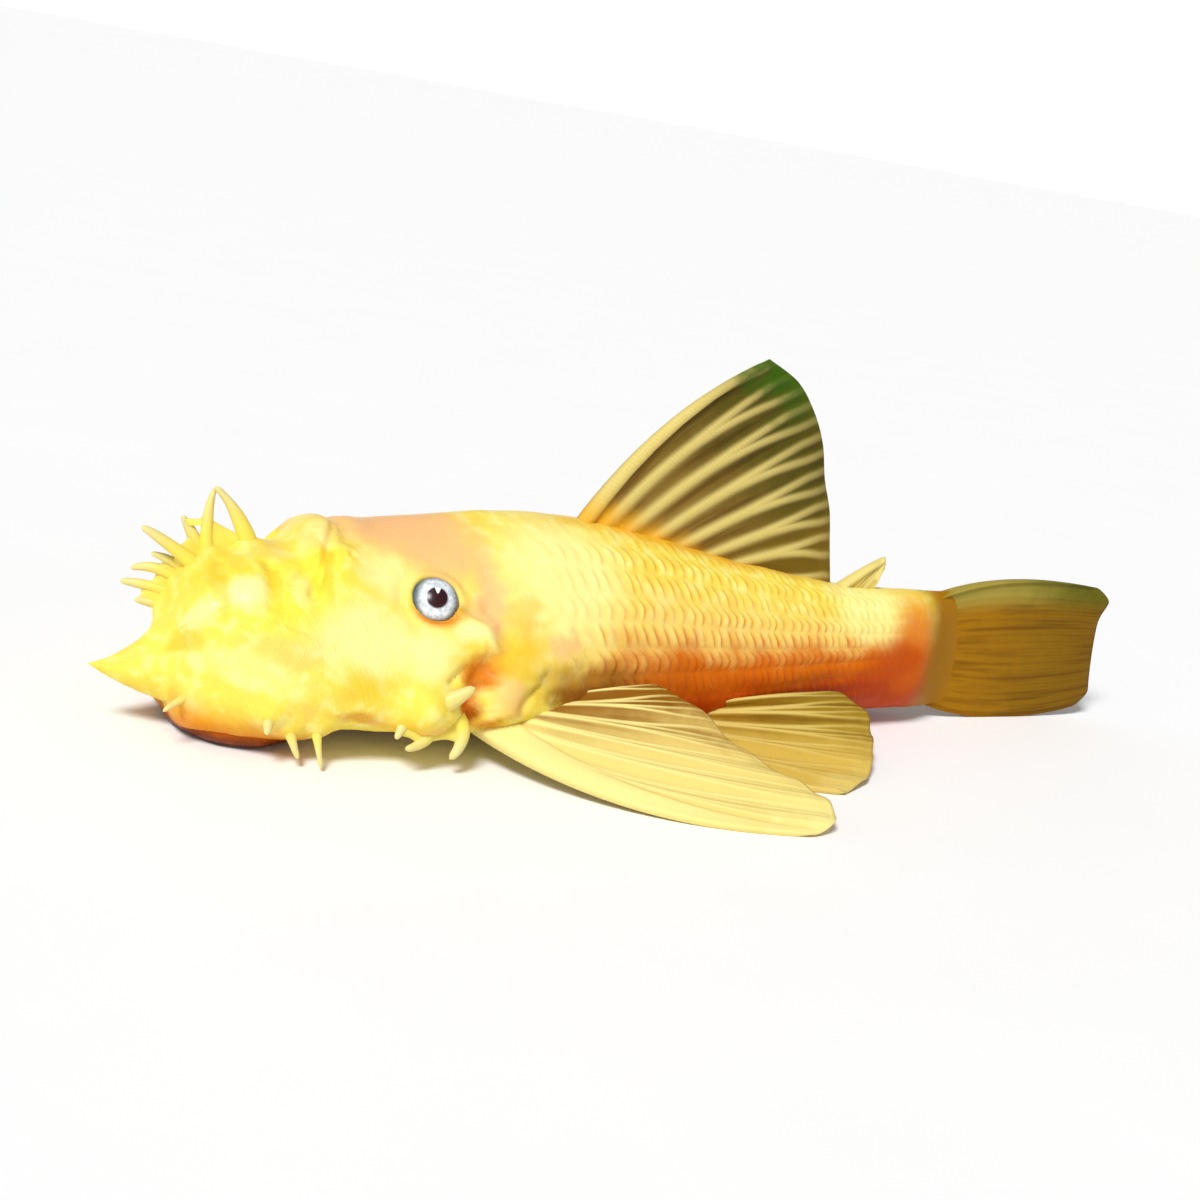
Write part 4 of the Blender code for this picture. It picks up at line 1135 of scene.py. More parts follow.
def make_fin(name, rays, material, node, forks=(0.52,), steps=96, per_gap=22,
             scallop=0.0, round_front=0.0, round_rear=0.0, ray_height=RAY_HEIGHT,
             ray_width=RAY_WIDTH, spine_width=SPINE_WIDTH, smooth_root=0.04, wave=0.0,
             mirror=False):
    """Thin curved fin whose rays are raised in both faces and fork towards the edge."""
    positions, points = fin_sheet(rays, per_gap, steps, scallop, round_front, round_rear)
    normal, spacing = sheet_normals(points)
    reach = np.linspace(0.0, 1.0, steps + 1)
    gap_width = spacing * per_gap
    ray, height = ray_relief(positions, gap_width, reach, forks, ray_height, ray_width)
    rod, spine = spine_relief(positions, gap_width, reach, spine_width)
    height = np.maximum(height * smooth_share(0.5 * smooth_root, smooth_root, reach), rod)
    thick = 0.5 * (FIN_ROOT + (FIN_TIP - FIN_ROOT) * reach)
    edge = 1.0 - FIN_THINNED * smooth_share(*FIN_THINNING, reach)
    half = np.maximum((thick + height) * edge, 0.5 * FIN_EDGE)
    half[0] = 0.5 * FIN_EDGE
    waves = np.sin(2 * math.pi * positions)[:, None]
    ripple = wave * waves * smooth_share(*FIN_WAVE_START, reach)
    centre = points + normal * (ripple * STANDARD_LENGTH)[..., None]
    sheet = two_faces(centre, normal * half[..., None])
    sheet[:, 2] = np.maximum(sheet[:, 2], 0.0)
    if mirror:
        sheet[:, 0] = -sheet[:, 0]
    values = {"ray": np.maximum(ray, spine), "reach": reach,
              "lead": positions[:, None] / positions[-1]}
    both = {label: np.tile(np.broadcast_to(grid, ray.shape).ravel(), 2)
            for label, grid in values.items()}
    piece = mesh_piece(name, sheet, closed_sheet(len(positions), steps + 1), both)
    finish_piece(piece, material, "fin", node)


def middle_rays(rays):
    """Rays of a fin on the fish's middle plane."""
    return [tuple(place(along, 0.0, up) for along, up in ray) for ray in rays]


def side_rays(rays):
    """Rays of a paired fin of the fish's left side."""
    return [tuple(place(along, out, up) for along, out, up in ray) for ray in rays]


def caudal_rays():
    """Rays fanned between the tail fin's top and lower rays, shortest in the middle."""
    rays = []
    for number in range(CAUDAL_RAYS):
        share = number / (CAUDAL_RAYS - 1)
        ray = [[a + (b - a) * share for a, b in zip(top, low)]
               for top, low in zip(CAUDAL_TOP, CAUDAL_LOW)]
        ray[2][0] += CAUDAL_LOBE * bell(share, *CAUDAL_LOBE_SPAN) - CAUDAL_NOTCH * arch(share)
        rays.append(ray)
    return middle_rays(rays)


def make_fins(finishes):
    """The four fins of the middle plane and both pairs of paired fins."""
    make_fin("dorsal", middle_rays(DORSAL_RAYS), finishes["dorsal"], "dorsal_fin", steps=120,
             forks=(0.54,), ray_width=0.90 * MM, ray_height=0.30 * MM, spine_width=1.9 * MM)
    make_fin("adipose", middle_rays(ADIPOSE_RAYS), finishes["adipose"], "adipose_fin",
             forks=(), steps=40, per_gap=16, ray_height=0.0, spine_width=1.4 * MM)
    make_fin("anal", middle_rays(ANAL_RAYS), finishes["paired"], "anal_fin", steps=40, per_gap=14)
    make_fin("caudal", caudal_rays(), finishes["caudal"], "caudal_fin", forks=(0.40,),
             steps=90, per_gap=10, round_front=0.055, round_rear=0.075,
             ray_height=0.05 * MM, spine_width=0.4 * MM)
    for hand, mirror in (("left", False), ("right", True)):
        make_fin("pectoral_" + hand, side_rays(PECTORAL_RAYS), finishes["paired"],
                 "pectoral_fin_" + hand, forks=(0.12, 0.48), steps=110, per_gap=26,
                 round_front=0.03, ray_height=0.12 * MM, ray_width=0.46 * MM,
                 spine_width=3.2 * MM, smooth_root=0.24, wave=0.002, mirror=mirror)
        make_fin("pelvic_" + hand, side_rays(PELVIC_RAYS), finishes["pelvic"],
                 "pelvic_fin_" + hand, forks=(0.25, 0.62), steps=90, scallop=0.004,
                 ray_height=0.16 * MM, ray_width=0.42 * MM, smooth_root=0.15, wave=0.002,
                 mirror=mirror)


def tint(red, green, blue):
    """Colour given as a screen shows it, turned into the renderer's own."""
    made = []
    for value in (red, green, blue):
        share = value / 255.0
        made.append(share / 12.92 if share <= 0.04045 else ((share + 0.055) / 1.055) ** 2.4)
    return (*made, 1.0)


LEMON = tint(238, 214, 84)
PALE = tint(248, 238, 158)
BRIGHT = tint(246, 228, 56)
YELLOW = tint(236, 192, 44)
GOLDEN = tint(230, 166, 22)
PINK = tint(238, 184, 124)
AMBER = tint(224, 142, 26)
ORANGE = tint(208, 104, 2)
RED_ORANGE = tint(180, 62, 0)
# Brown and ochre painted as shade: under the snout and the lips, and as shadow behind the pectoral
# fins
SHADOW_BROWN = tint(112, 46, 0)
SHADOW_OCHRE = tint(146, 86, 0)
OLIVE = tint(160, 108, 0)

# How deep light sinks into the flesh, in metres, and the film of water's refraction
FLESH_SCALE = 0.0016
COAT_IOR = 1.38

# Patches of the skin's colour, among them painted highlights and painted shade: along, around,
# reach along, reach around, colour, strength
SKIN_PATCHES = (
    (0.100, 0.62, 0.060, 0.30, BRIGHT, 0.60),
    # Painted highlights on the snout's bulges and the hump (the next four)
    (0.060, 0.54, 0.020, 0.13, PALE, 0.95),
    (0.024, 0.47, 0.012, 0.12, PALE, 0.70),
    (0.112, 0.56, 0.012, 0.13, PALE, 0.50),
    (0.140, 0.86, 0.014, 0.12, PALE, 0.70),
    (0.040, 0.86, 0.030, 0.22, YELLOW, 0.45),
    # Painted shade in the furrows of the snout and at the flap's root (the next four)
    (0.040, 0.64, 0.008, 0.26, GOLDEN, 0.40),
    (0.086, 0.62, 0.007, 0.22, GOLDEN, 0.40),
    (0.136, 0.70, 0.007, 0.28, GOLDEN, 0.45),
    (0.012, 0.26, 0.012, 0.22, GOLDEN, 0.45),
    (0.230, 0.92, 0.080, 0.22, PINK, 1.00),
    (0.270, 0.72, 0.050, 0.20, PINK, 0.85),
    (0.312, 0.50, 0.020, 0.26, PINK, 0.85),
    (0.200, 0.62, 0.030, 0.14, PALE, 0.70),
    (0.400, 0.60, 0.080, 0.38, PALE, 0.80),
    (0.170, 0.30, 0.060, 0.18, PALE, 0.80),
    (0.235, 0.24, 0.030, 0.14, PALE, 0.80),
    (0.165, 0.10, 0.026, 0.09, YELLOW, 0.70),
    (0.085, 0.22, 0.045, 0.10, PINK, 0.30),
    (0.060, 0.08, 0.060, 0.10, PALE, 0.45),
    (0.170, -0.08, 0.034, 0.06, ORANGE, 0.50),
    (0.300, 0.44, 0.024, 0.08, PINK, 0.60),
    # Painted highlights on the ridge under the eye (the next two)
    (0.280, 0.35, 0.022, 0.06, PALE, 0.90),
    (0.300, 0.33, 0.012, 0.09, PALE, 0.60),
    # Deep orange in the hollow behind the cheek: the flesh's own orange, deepened as painted shade
    # (the next three)
    (0.293, 0.17, 0.026, 0.085, ORANGE, 0.88),
    (0.279, 0.02, 0.014, 0.16, ORANGE, 1.00),
    (0.318, 0.22, 0.016, 0.08, AMBER, 0.60),
    (0.322, 0.06, 0.022, 0.10, PINK, 0.65),
    (0.306, -0.10, 0.018, 0.08, AMBER, 0.80),
    (0.345, 0.42, 0.022, 0.08, GOLDEN, 0.30),
    (0.350, 0.28, 0.030, 0.14, GOLDEN, 0.35),
    (0.246, -0.12, 0.030, 0.08, PINK, 0.60),
    (0.335, 0.24, 0.030, 0.12, YELLOW, 0.55),
    (0.390, 0.27, 0.022, 0.07, PINK, 0.70),
    # Painted shadow between the pectoral fin and the flank (the next two)
    (0.425, 0.09, 0.075, 0.12, SHADOW_OCHRE, 0.78),
    (0.405, 0.04, 0.040, 0.07, SHADOW_BROWN, 0.62),
    (0.215, -0.12, 0.030, 0.08, YELLOW, 0.60),
    (0.600, 1.00, 0.200, 0.15, GOLDEN, 0.80),
    (0.850, 0.78, 0.060, 0.28, PALE, 0.70),
    (0.850, 0.48, 0.060, 0.22, PALE, 0.45),
    (0.922, 0.24, 0.042, 0.62, ORANGE, 0.85),
    (0.895, 0.08, 0.055, 0.28, RED_ORANGE, 0.70),
)


class Wiring:
    """A node tree with short ways to add nodes and join them."""

    def __init__(self, tree):
        self.tree = tree

    def add(self, kind, **settings):
        """New node of a kind, with settings of its own."""
        made = self.tree.nodes.new(kind)
        for name, value in settings.items():
            setattr(made, name, value)
        return made

    def feed(self, socket, value):
        """Set a socket to a number or colour, or join it to another socket."""
        if isinstance(value, bpy.types.NodeSocket):
            self.tree.links.new(value, socket)
        else:
            socket.default_value = value

    def value(self, name):
        """Value that the mesh carries on its points."""
        return self.add("ShaderNodeAttribute", attribute_name=name).outputs["Fac"]

    def math(self, operation, first, second=0.0, third=0.0):
        """Result of a Math node."""
        made = self.add("ShaderNodeMath", operation=operation)
        for socket, value in zip(made.inputs, (first, second, third)):
            self.feed(socket, value)
        return made.outputs[0]

    def product(self, *masks):
        """Masks multiplied together, so that it is strong only where all of them are."""
        whole = masks[0]
        for mask in masks[1:]:
            whole = self.math("MULTIPLY", whole, mask)
        return whole

    def scaled(self, value, factor, offset):
        """Value times a factor, plus an offset."""
        return self.math("MULTIPLY_ADD", value, factor, offset)

    def ramp(self, value, low, high, start=0.0, end=1.0):
        """Smooth change from start to end while the value goes from low to high."""
        made = self.add("ShaderNodeMapRange", interpolation_type="SMOOTHSTEP")
        for name, number in zip(("Value", "From Min", "From Max", "To Min", "To Max"),
                                (value, low, high, start, end)):
            self.feed(made.inputs[name], number)
        return made.outputs["Result"]

    def mix(self, share, first, second, blend="MIX"):
        """First colour where the share is 0, and the second, or their blend, where it is 1."""
        made = self.add("ShaderNodeMix", data_type="RGBA", blend_type=blend)
        factor, colour_a, colour_b = made.inputs[0], made.inputs[6], made.inputs[7]
        self.feed(factor, share)
        self.feed(colour_a, first)
        self.feed(colour_b, second)
        return made.outputs[2]

    def layers(self, colour, shades):
        """Colour with others laid over it in turn, each given as its mask and itself."""
        for mask, shade in shades:
            colour = self.mix(mask, colour, shade)
        return colour

    def flat_vector(self, across, length):
        """Vector made of two values."""
        made = self.add("ShaderNodeCombineXYZ")
        self.feed(made.inputs["X"], across)
        self.feed(made.inputs["Y"], length)
        return made.outputs["Vector"]

    def noise(self, scale, detail=3.0, roughness=0.5, vector=None):
        """Noise with so many cells to the metre, or on a vector of its own."""
        made = self.add("ShaderNodeTexNoise")
        made.inputs["Detail"].default_value = detail
        made.inputs["Roughness"].default_value = roughness
        self.feed(made.inputs["Scale"], scale)
        where = vector or self.add("ShaderNodeTexCoord").outputs["Object"]
        self.feed(made.inputs["Vector"], where)
        return made.outputs["Fac"]


def new_group(name, inputs, outputs):
    """Empty shader node group of number sockets: its wiring, inputs and outputs."""
    number = "NodeSocketFloat"
    tree = bpy.data.node_groups.new(name, "ShaderNodeTree")
    for label, value in inputs.items():
        socket = tree.interface.new_socket(label, in_out="INPUT", socket_type=number)
        socket.default_value = value
    for label in outputs:
        tree.interface.new_socket(label, in_out="OUTPUT", socket_type=number)
    wiring = Wiring(tree)
    entry = wiring.add("NodeGroupInput")
    leave = wiring.add("NodeGroupOutput")
    return wiring, entry.outputs, leave.inputs


def place_group(wiring, group, **values):
    """Place a group in a material with its own values and return its outputs."""
    made = wiring.add("ShaderNodeGroup")
    made.node_tree = group
    for name, value in values.items():
        wiring.feed(made.inputs[name.replace("_", " ")], value)
    return made.outputs


def soft_patch_group():
    """Mask of an oval patch with soft edges on the body's own map."""
    wiring, entry, leave = new_group(
        "soft_patch",
        {"Along": 0.0, "Around": 0.0, "Middle Along": 0.5, "Middle Around": 0.5,
         "Reach Along": 0.1, "Reach Around": 0.1, "Strength": 1.0},
        ["Mask"])
    parts = []
    for way in ("Along", "Around"):
        offset = wiring.math("SUBTRACT", entry[way], entry["Middle " + way])
        share = wiring.math("DIVIDE", offset, entry["Reach " + way])
        parts.append(wiring.product(share, share))
    distance = wiring.math("SQRT", wiring.math("ADD", *parts))
    mask = wiring.product(wiring.ramp(distance, 1.35, 0.35), entry["Strength"])
    wiring.feed(leave["Mask"], mask)
    return wiring.tree


def wet_grain_group():
    """Fine grain of wet fish skin: a height, a roughness and a mottling mask."""
    wiring, entry, leave = new_group(
        "wet_grain", {"Fine": 6000.0, "Coarse": 900.0, "Wet": 0.3},
        ["Height", "Roughness", "Mottle"])
    fine = wiring.noise(entry["Fine"], 4.0)
    coarse = wiring.noise(320.0, 5.0, 0.55)
    cells = wiring.add("ShaderNodeTexVoronoi")
    wiring.feed(cells.inputs["Vector"], wiring.add("ShaderNodeTexCoord").outputs["Object"])
    wiring.feed(cells.inputs["Scale"], entry["Coarse"])
    wiring.feed(leave["Height"], wiring.scaled(cells.outputs["Distance"], 0.5, fine))
    wiring.feed(leave["Roughness"], wiring.scaled(coarse, 0.30, entry["Wet"]))
    wiring.feed(leave["Mottle"], coarse)
    return wiring.tree


def wrinkle_group():
    """Short fine creases that lean across the cheek: a height."""
    wiring, entry, leave = new_group("wrinkles", {"Along": 0.0, "Around": 0.0}, ["Height"])
    across = wiring.scaled(entry["Around"], 34.0, wiring.product(entry["Along"], 260.0))
    length = wiring.scaled(entry["Around"], 16.0, wiring.product(entry["Along"], -34.0))
    streak = wiring.noise(1.0, 2.0, 0.5, wiring.flat_vector(across, length))
    wiring.feed(leave["Height"], wiring.ramp(streak, 0.35, 0.65))
    return wiring.tree


def new_finish(name, colour, slot_roughness):
    """Material with its wiring and its Principled shader."""
    material = bpy.data.materials.new(name)
    material.use_nodes = True
    material.diffuse_color = colour
    shader = material.node_tree.nodes["Principled BSDF"]
    shader.inputs["Base Color"].default_value = colour
    shader.inputs["Roughness"].default_value = slot_roughness
    return material, Wiring(material.node_tree), shader


def add_surface(wiring, shader, colour, roughness, height, bump):
    """Join a colour, a roughness and a relief to a shader; bump is strength and distance."""
    wiring.feed(shader.inputs["Base Color"], colour)
    wiring.feed(shader.inputs["Roughness"], roughness)
    made = wiring.add("ShaderNodeBump")
    made.inputs["Strength"].default_value, made.inputs["Distance"].default_value = bump
    wiring.feed(made.inputs["Height"], height)
    wiring.feed(shader.inputs["Normal"], made.outputs["Normal"])


def make_fleshy(shader, weight, radius, glint):
    """Light that sinks into flesh and comes out again, and a glint on its surface."""
    shader.inputs["Subsurface Weight"].default_value = weight
    shader.inputs["Subsurface Radius"].default_value = radius
    shader.inputs["Subsurface Scale"].default_value = FLESH_SCALE
    shader.inputs["Specular IOR Level"].default_value = glint


def wet_coat(wiring, shader, weight, roughness):
    """Film of water over a finish."""
    wiring.feed(shader.inputs["Coat Weight"], weight)
    shader.inputs["Coat Roughness"].default_value = roughness
    shader.inputs["Coat IOR"].default_value = COAT_IOR


def ground_shades(wiring, along, around, drift, edge):
    """Dapples on the head, gold that turns orange low on the flank, and orange painted shade at the
    plate edges.
    """
    dapple = wiring.noise(620.0, 2.0, 0.5)
    golden = wiring.ramp(along, 0.22, 0.40, 0.10, 0.35)
    flank = wiring.ramp(along, 0.36, 0.52)
    seam_shade_below = wiring.ramp(around, 0.60, 0.26, 0.0, 0.60)
    lower = wiring.scaled(drift, 0.22, around)
    return (
        (wiring.ramp(dapple, 0.46, 0.68, 0.0, 0.45), PALE),
        (wiring.product(wiring.ramp(dapple, 0.50, 0.34), golden), tint(236, 186, 84)),
        (wiring.product(flank, wiring.ramp(around, 0.75, 0.30), 0.60), tint(242, 200, 116)),
        # Orange painted shade at the foot of each plate's edge, stronger low on the flank
        (wiring.product(edge, flank, seam_shade_below), ORANGE),
        (wiring.product(flank, wiring.ramp(lower, 0.40, 0.10)), ORANGE),
        (wiring.product(flank, wiring.ramp(lower, 0.14, -0.20)), RED_ORANGE),
    )


def patch_shades(wiring, patch, along, around):
    """Each patch of the skin's colour and of painted highlight and shade, through the soft patch
    group.
    """
    for middle_along, middle_around, reach_along, reach_around, shade, strength in SKIN_PATCHES:
        outputs = place_group(wiring, patch, Along=along, Around=around,
                              Middle_Along=middle_along, Middle_Around=middle_around,
                              Reach_Along=reach_along, Reach_Around=reach_around,
                              Strength=strength)
        yield outputs["Mask"], shade


def underside_shades(wiring, along, around):
    """The snout's margin, painted amber, orange and then brown underneath as shade, and the belly
    behind it.
    """
    snout = wiring.product(wiring.ramp(along, 0.18, 0.10), wiring.ramp(along, 0.0, 0.03))
    behind = wiring.product(wiring.ramp(along, 0.16, 0.24),
                            wiring.ramp(along, 0.86, 0.70, 0.0, 0.8))
    return (
        # Painted shade under the snout's rim, darkest underneath
        (wiring.product(snout, wiring.ramp(around, -0.12, -0.46)), AMBER),
        (wiring.product(snout, wiring.ramp(around, -0.50, -0.76)), ORANGE),
        (wiring.product(snout, wiring.ramp(around, -0.72, -0.96)), SHADOW_BROWN),
        (wiring.product(behind, wiring.ramp(around, -0.55, -0.80)), tint(236, 188, 100)),
    )


def skin_finish(patch, grain, wrinkle):
    """Lemon skin with pink, golden and orange patches, painted highlights, and painted shade at the
    plate edges, in hollows and under the eyes and snout.
    """
    material, wiring, shader = new_finish("lemon_skin", LEMON, 0.4)
    true_along = wiring.value("along")
    true_around = wiring.value("around")
    # Mask of painted shade at the foot of each plate's edge
    edge = wiring.value("edge")
    blot = wiring.noise(260.0, 4.0, 0.6)
    drift = wiring.math("SUBTRACT", blot, 0.5)
    along = wiring.scaled(drift, 0.040, true_along)
    around = wiring.scaled(drift, 0.20, true_around)
    colour = wiring.layers(LEMON, ground_shades(wiring, along, around, drift, edge))
    colour = wiring.layers(colour, patch_shades(wiring, patch, along, around))
    colour = wiring.layers(colour, underside_shades(wiring, along, around))
    # Painted shade at the foot of each plate's edge, patchy
    seam_shade_patches = wiring.ramp(wiring.noise(140.0, 2.0, 0.5), 0.36, 0.62, 0.12, 0.62)
    colour = wiring.mix(wiring.product(edge, seam_shade_patches), colour, tint(236, 184, 120), "MULTIPLY")
    cheek = wiring.product(wiring.ramp(true_along, 0.34, 0.26),
                           wiring.ramp(blot, 0.52, 0.72, 0.0, 0.20))
    # Painted shade under each eye, along the 'socket' mask
    colour = wiring.layers(colour, ((wiring.value("socket"), tint(214, 122, 20)),
                                    (wiring.ramp(along, 0.925, 0.980), OLIVE),
                                    (cheek, PINK)))
    wet = place_group(wiring, grain, Fine=5200.0, Coarse=1500.0, Wet=0.24)
    crease = place_group(wiring, wrinkle, Along=true_along, Around=true_around)["Height"]
    on_cheek = wiring.product(wiring.ramp(true_along, 0.02, 0.06),
                              wiring.ramp(true_along, 0.24, 0.16),
                              wiring.ramp(true_around, 0.52, 0.36))
    height = wiring.math("ADD", wiring.product(crease, on_cheek), wet["Height"])
    add_surface(wiring, shader, colour, wet["Roughness"], height, bump=(0.35, 0.00014))
    make_fleshy(shader, 0.08, (1.0, 0.70, 0.25), glint=0.06)
    film = wiring.product(wiring.ramp(around, 0.0, 0.40),
                          wiring.ramp(true_along, 0.95, 0.80, 0.0, 0.16))
    wet_coat(wiring, shader, film, 0.14)
    return material


def bristle_finish(grain):
    """Bristles go from lemon at the root to a pale beige tip."""
    material, wiring, shader = new_finish("bristle_flesh", LEMON, 0.4)
    wet = place_group(wiring, grain, Fine=7000.0, Coarse=2600.0, Wet=0.26)
    colour = wiring.layers(LEMON, (
        (wiring.ramp(wiring.value("reach"), 0.30, 0.85), tint(218, 204, 134)),
        (wiring.ramp(wet["Mottle"], 0.50, 0.80, 0.0, 0.3), YELLOW)))
    add_surface(wiring, shader, colour, wet["Roughness"], wet["Height"], bump=(0.25, 0.0001))
    make_fleshy(shader, 0.15, (1.0, 0.7, 0.3), glint=0.15)
    wet_coat(wiring, shader, 0.15, 0.15)
    return material


def lip_finish(grain):
    """Lips are orange where they meet the skin, with brown painted shade underneath."""
    material, wiring, shader = new_finish("lip_flesh", ORANGE, 0.4)
    wet = place_group(wiring, grain, Fine=4200.0, Coarse=2000.0, Wet=0.22)
    colour = wiring.layers(ORANGE, (
        # Painted shade: brown where the lips turn under
        (wiring.ramp(wiring.value("height"), 1.0, 0.30), SHADOW_BROWN),
        (wiring.ramp(wet["Mottle"], 0.50, 0.8, 0.0, 0.4), ORANGE)))
    add_surface(wiring, shader, colour, wet["Roughness"], wet["Height"], bump=(0.5, 0.00025))
    make_fleshy(shader, 0.1, (1.0, 0.4, 0.1), glint=0.10)
    wet_coat(wiring, shader, 0.1, 0.12)
    return material


def eye_finish():
    """Silver iris with grey-blue painted shade at its rim and sides, and a maroon pupil notched
    from above, the notch painted white as a glint.
    """
    material, wiring, shader = new_finish("silver_eye", tint(225, 232, 238), 0.1)
    slate_shade = tint(62, 86, 100)
    spread = wiring.value("spread")
    upright = wiring.value("upright")
    side = wiring.math("ABSOLUTE", wiring.value("level"))
    streak = wiring.noise(2400.0, 4.0, 0.6)
    silver = wiring.mix(wiring.ramp(streak, 0.36, 0.60), tint(188, 198, 204),
                        tint(226, 231, 232))
    # Grey-blue painted shade on the iris's left and right sides
    side_shade = wiring.product(wiring.ramp(side, 0.40, 0.90), wiring.ramp(spread, 0.50, 0.90), 0.78)
    pupil_edge = wiring.scaled(wiring.noise(2600.0, 2.0), 0.05, 0.405)
    pupil = wiring.ramp(wiring.math("SUBTRACT", spread, pupil_edge), 0.02, -0.02)
    # Notch into the pupil from above, painted white as a glint
    notch_edge = wiring.scaled(upright, 0.40, -0.040)
    notch_glint = wiring.product(wiring.ramp(wiring.math("SUBTRACT", side, notch_edge), 0.02, -0.02),
                           wiring.ramp(upright, 0.14, 0.22), wiring.ramp(spread, 0.48, 0.42))
    colour = wiring.layers(silver, (
        # Grey-blue painted shade round the eyeball's rim
        (wiring.ramp(spread, 0.74, 1.02), slate_shade),
        (side_shade, slate_shade),
        (wiring.ramp(spread, 0.50, 0.44), tint(150, 150, 160)),
        (pupil, tint(46, 6, 12)),
        (notch_glint, tint(250, 251, 252))))
    roughness = wiring.ramp(streak, 0.3, 0.7, 0.22, 0.34)
    add_surface(wiring, shader, colour, roughness, streak, bump=(0.10, 0.00006))
    return material


def fin_finish(name, grain, near, far, ray_colour, root_colour, tip_colour, front=None,
               rear=None, ray_strength=0.95, tip_lead=0.40, tip_reach=0.80, tip_end=None):
    """Fin membrane between pale rays, warm at the root and tinted at the leading tip."""
    material, wiring, shader = new_finish(name, near, 0.42)
    ray, reach, lead = (wiring.value(label) for label in ("ray", "reach", "lead"))
    wet = place_group(wiring, grain, Fine=5200.0, Coarse=2400.0, Wet=0.34)
    drift = wiring.math("SUBTRACT", wet["Mottle"], 0.5)
    lengthwise = wiring.flat_vector(wiring.product(lead, 22.0), wiring.product(reach, 2.2))
    streak = wiring.noise(1.0, 2.0, 0.5, lengthwise)
    blot = wiring.scaled(drift, 0.4, reach)
    colour = wiring.mix(wiring.ramp(blot, 0.15, 0.9), near, far)
    colour = wiring.mix(wiring.ramp(streak, 0.56, 0.36, 0.0, 0.70), colour,
                        tint(196, 174, 144), "MULTIPLY")
    ray_place = wiring.scaled(drift, 0.3, lead)
    if front:
        colour = wiring.mix(wiring.ramp(ray_place, 0.80, 0.25), colour, front)
    if rear:
        colour = wiring.mix(wiring.ramp(ray_place, 0.54, 0.92), colour, rear)
    joint = wiring.math("SINE", wiring.product(reach, 420.0))
    strength = wiring.product(wiring.scaled(joint, 0.03, ray_strength),
                              wiring.ramp(reach, 1.25, 0.55))
    corner = wiring.product(wiring.ramp(blot, tip_reach, tip_reach + 0.16),
                            wiring.ramp(lead, tip_lead, tip_lead * 0.3), 0.85)
    if tip_end:
        tip_colour = wiring.mix(wiring.ramp(blot, 0.40, 0.95), tip_colour, tip_end)
    colour = wiring.layers(colour, (
        (wiring.product(wiring.ramp(ray, 0.05, 0.95), strength), ray_colour),
        (corner, tip_colour)))
    if root_colour:
        root = wiring.scaled(drift, 0.10, reach)
        colour = wiring.mix(wiring.ramp(root, 0.24, 0.05, 0.0, 0.95), colour, root_colour)
    relief = wiring.scaled(joint, 0.08, wet["Height"])
    add_surface(wiring, shader, colour, wet["Roughness"], relief, bump=(0.25, 0.0001))
    make_fleshy(shader, 0.05, (1.0, 0.7, 0.2), glint=0.08)
    return material


def fin_finishes(grain):
    """The finishes of the fins, by fin."""
    cream = tint(222, 202, 120)
    pale = tint(238, 221, 140)
    return {
        "dorsal": fin_finish("dorsal_membrane", grain, tint(136, 106, 44), tint(80, 72, 14),
                             cream, GOLDEN, tint(46, 88, 4), rear=tint(112, 88, 18),
                             ray_strength=0.85),
        # Tail fin: grey-green painted highlight along its top edge, turning dark olive towards its
        # end
        "caudal": fin_finish("caudal_membrane", grain, OLIVE, tint(118, 84, 0),
                             tint(152, 112, 0), None, tint(158, 146, 62),
                             ray_strength=0.30, tip_lead=0.24, tip_reach=-0.04,
                             tip_end=tint(88, 90, 12)),
        "adipose": fin_finish("adipose_membrane", grain, tint(222, 200, 104),
                              tint(206, 192, 122), cream, YELLOW, cream),
        "paired": fin_finish("paired_membrane", grain, tint(150, 104, 24), tint(224, 196, 112),
                             pale, None, pale, front=tint(226, 204, 118),
                             rear=tint(132, 82, 8)),
        "pelvic": fin_finish("pelvic_membrane", grain, tint(150, 104, 10), tint(150, 120, 30),
                             tint(216, 190, 106), tint(206, 140, 40), tint(216, 190, 106),
                             front=tint(206, 172, 76)),
    }


def floor_finish():
    """Almost white paper with faint flecks."""
    material, wiring, shader = new_finish("pale_floor", tint(250, 250, 250), 0.7)
    fleck = wiring.noise(40.0, 3.0)
    wiring.feed(shader.inputs["Base Color"],
                wiring.mix(fleck, tint(248, 248, 248), tint(252, 252, 252)))
    return material


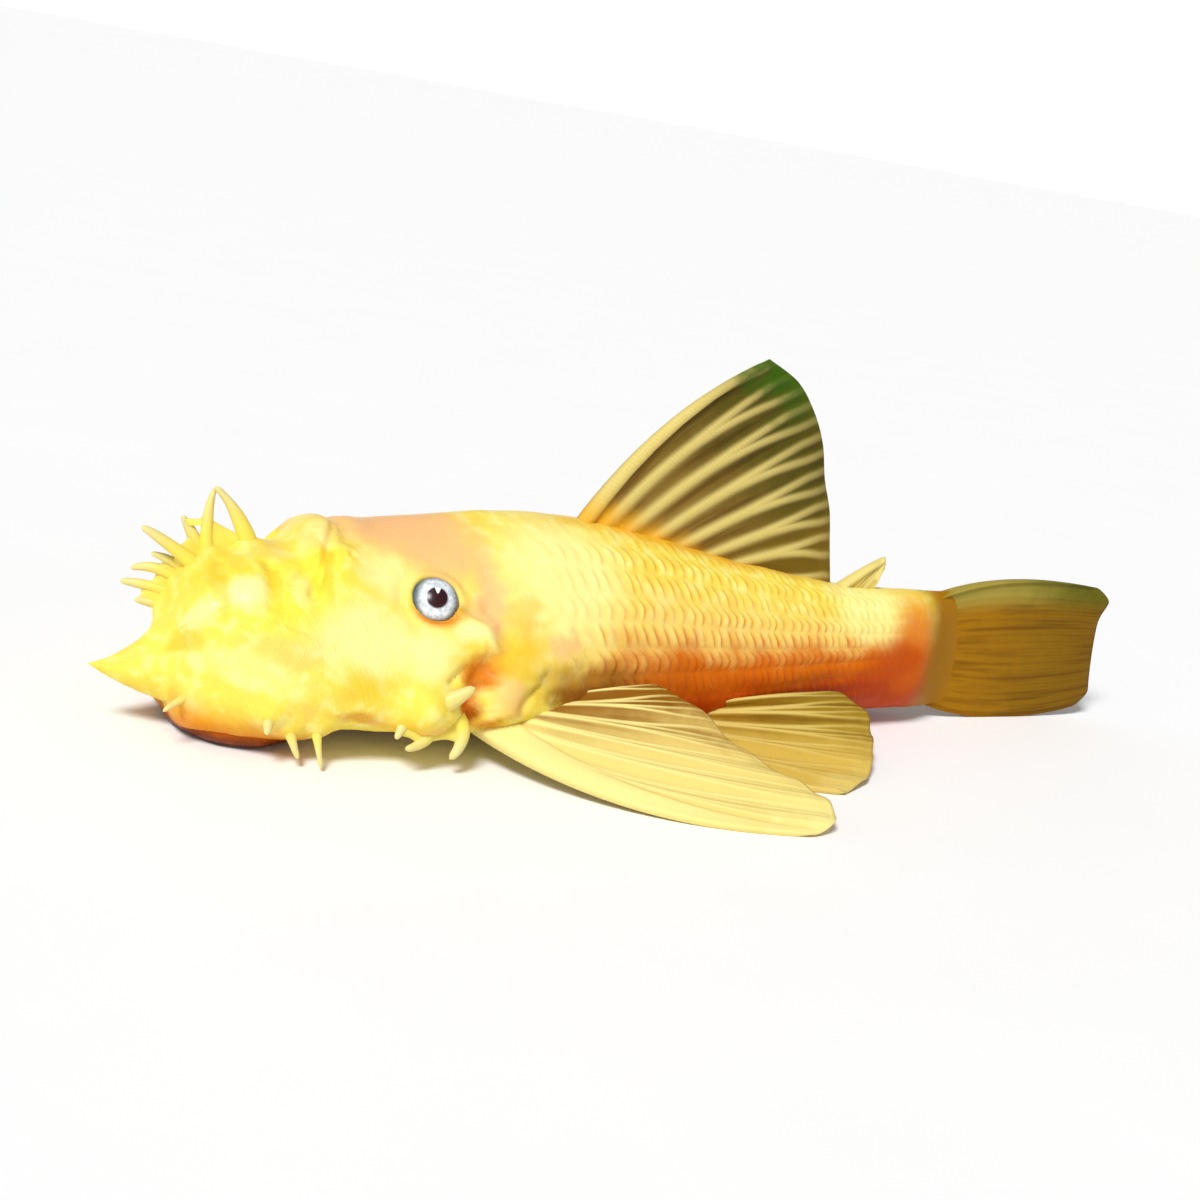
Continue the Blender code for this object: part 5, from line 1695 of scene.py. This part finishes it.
def make_floor():
    """Wide round floor at Z = 0."""
    rim = [(FLOOR_REACH * math.cos(turn), FLOOR_REACH * math.sin(turn), 0.0)
           for turn in turns(FLOOR_SIDES)]
    faces = [(0, j + 1, (j + 1) % FLOOR_SIDES + 1) for j in range(FLOOR_SIDES)]
    mesh = bpy.data.meshes.new("floor")
    mesh.from_pydata([(0.0, 0.0, 0.0)] + rim, [], faces)
    floor = new_object("floor", mesh)
    floor.data.materials.append(floor_finish())
    floor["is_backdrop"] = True


def make_light():
    """Large soft light from above the snout, in a white dome that darkens overhead."""
    lamp = bpy.data.lights.new("key_light", "SUN")
    lamp.energy = KEY_STRENGTH
    lamp.angle = KEY_SOFTNESS
    thing = new_object("key_light", lamp)
    thing.location = Vector(KEY_DIRECTION)
    thing.rotation_euler = Vector(KEY_DIRECTION).to_track_quat("Z", "Y").to_euler()
    world = bpy.data.worlds.new("studio")
    world.use_nodes = True
    wiring = Wiring(world.node_tree)
    split = wiring.add("ShaderNodeSeparateXYZ")
    wiring.feed(split.inputs[0], wiring.add("ShaderNodeTexCoord").outputs["Generated"])
    sky = world.node_tree.nodes["Background"]
    shade = wiring.ramp(split.outputs["Z"], 0.06, 0.50, DOME_EDGE, DOME_TOP)
    wiring.feed(sky.inputs["Strength"], shade)
    sky.inputs["Color"].default_value = (1.0, 1.0, 1.0, 1.0)
    bpy.context.scene.world = world
    bpy.context.scene.view_settings.view_transform = "Standard"


def make_camera():
    """Camera at the photo's angle, tilted as the photo is."""
    lens = bpy.data.cameras.new("camera")
    lens.lens = CAMERA_LENS
    lens.sensor_width = 36.0
    lens.shift_x, lens.shift_y = CAMERA_SHIFT
    lens.clip_start = 0.01
    back = Vector((math.cos(CAMERA_YAW) * math.cos(CAMERA_DOWN),
                   -math.sin(CAMERA_YAW) * math.cos(CAMERA_DOWN), math.sin(CAMERA_DOWN)))
    camera = new_object("camera", lens)
    camera.location = place(*CAMERA_AIM) + back * (CAMERA_DISTANCE * STANDARD_LENGTH)
    turn = back.to_track_quat("Z", "Y") @ Quaternion((0.0, 0.0, 1.0), CAMERA_TILT)
    camera.rotation_mode = "QUATERNION"
    camera.rotation_quaternion = turn
    bpy.context.scene.camera = camera


def write_size():
    """Measure the solids' box and the dressed part's box."""
    boxes = {"solids": solid_box, "visual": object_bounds()}
    plain = {name: [[float(v) for v in corner] for corner in box] for name, box in boxes.items()}


def main():
    """Make the camera, the pieces with their finishes, the floor and the light."""
    make_camera()
    patch = soft_patch_group()
    grain = wet_grain_group()
    wrinkle = wrinkle_group()
    make_skin(skin_finish(patch, grain, wrinkle))
    make_bristles(bristle_finish(grain))
    make_mouth(lip_finish(grain))
    eye = eye_finish()
    make_eye(1, "left", eye)
    make_eye(-1, "right", eye)
    make_fins(fin_finishes(grain))
    make_floor()
    make_light()
    write_size()


main()
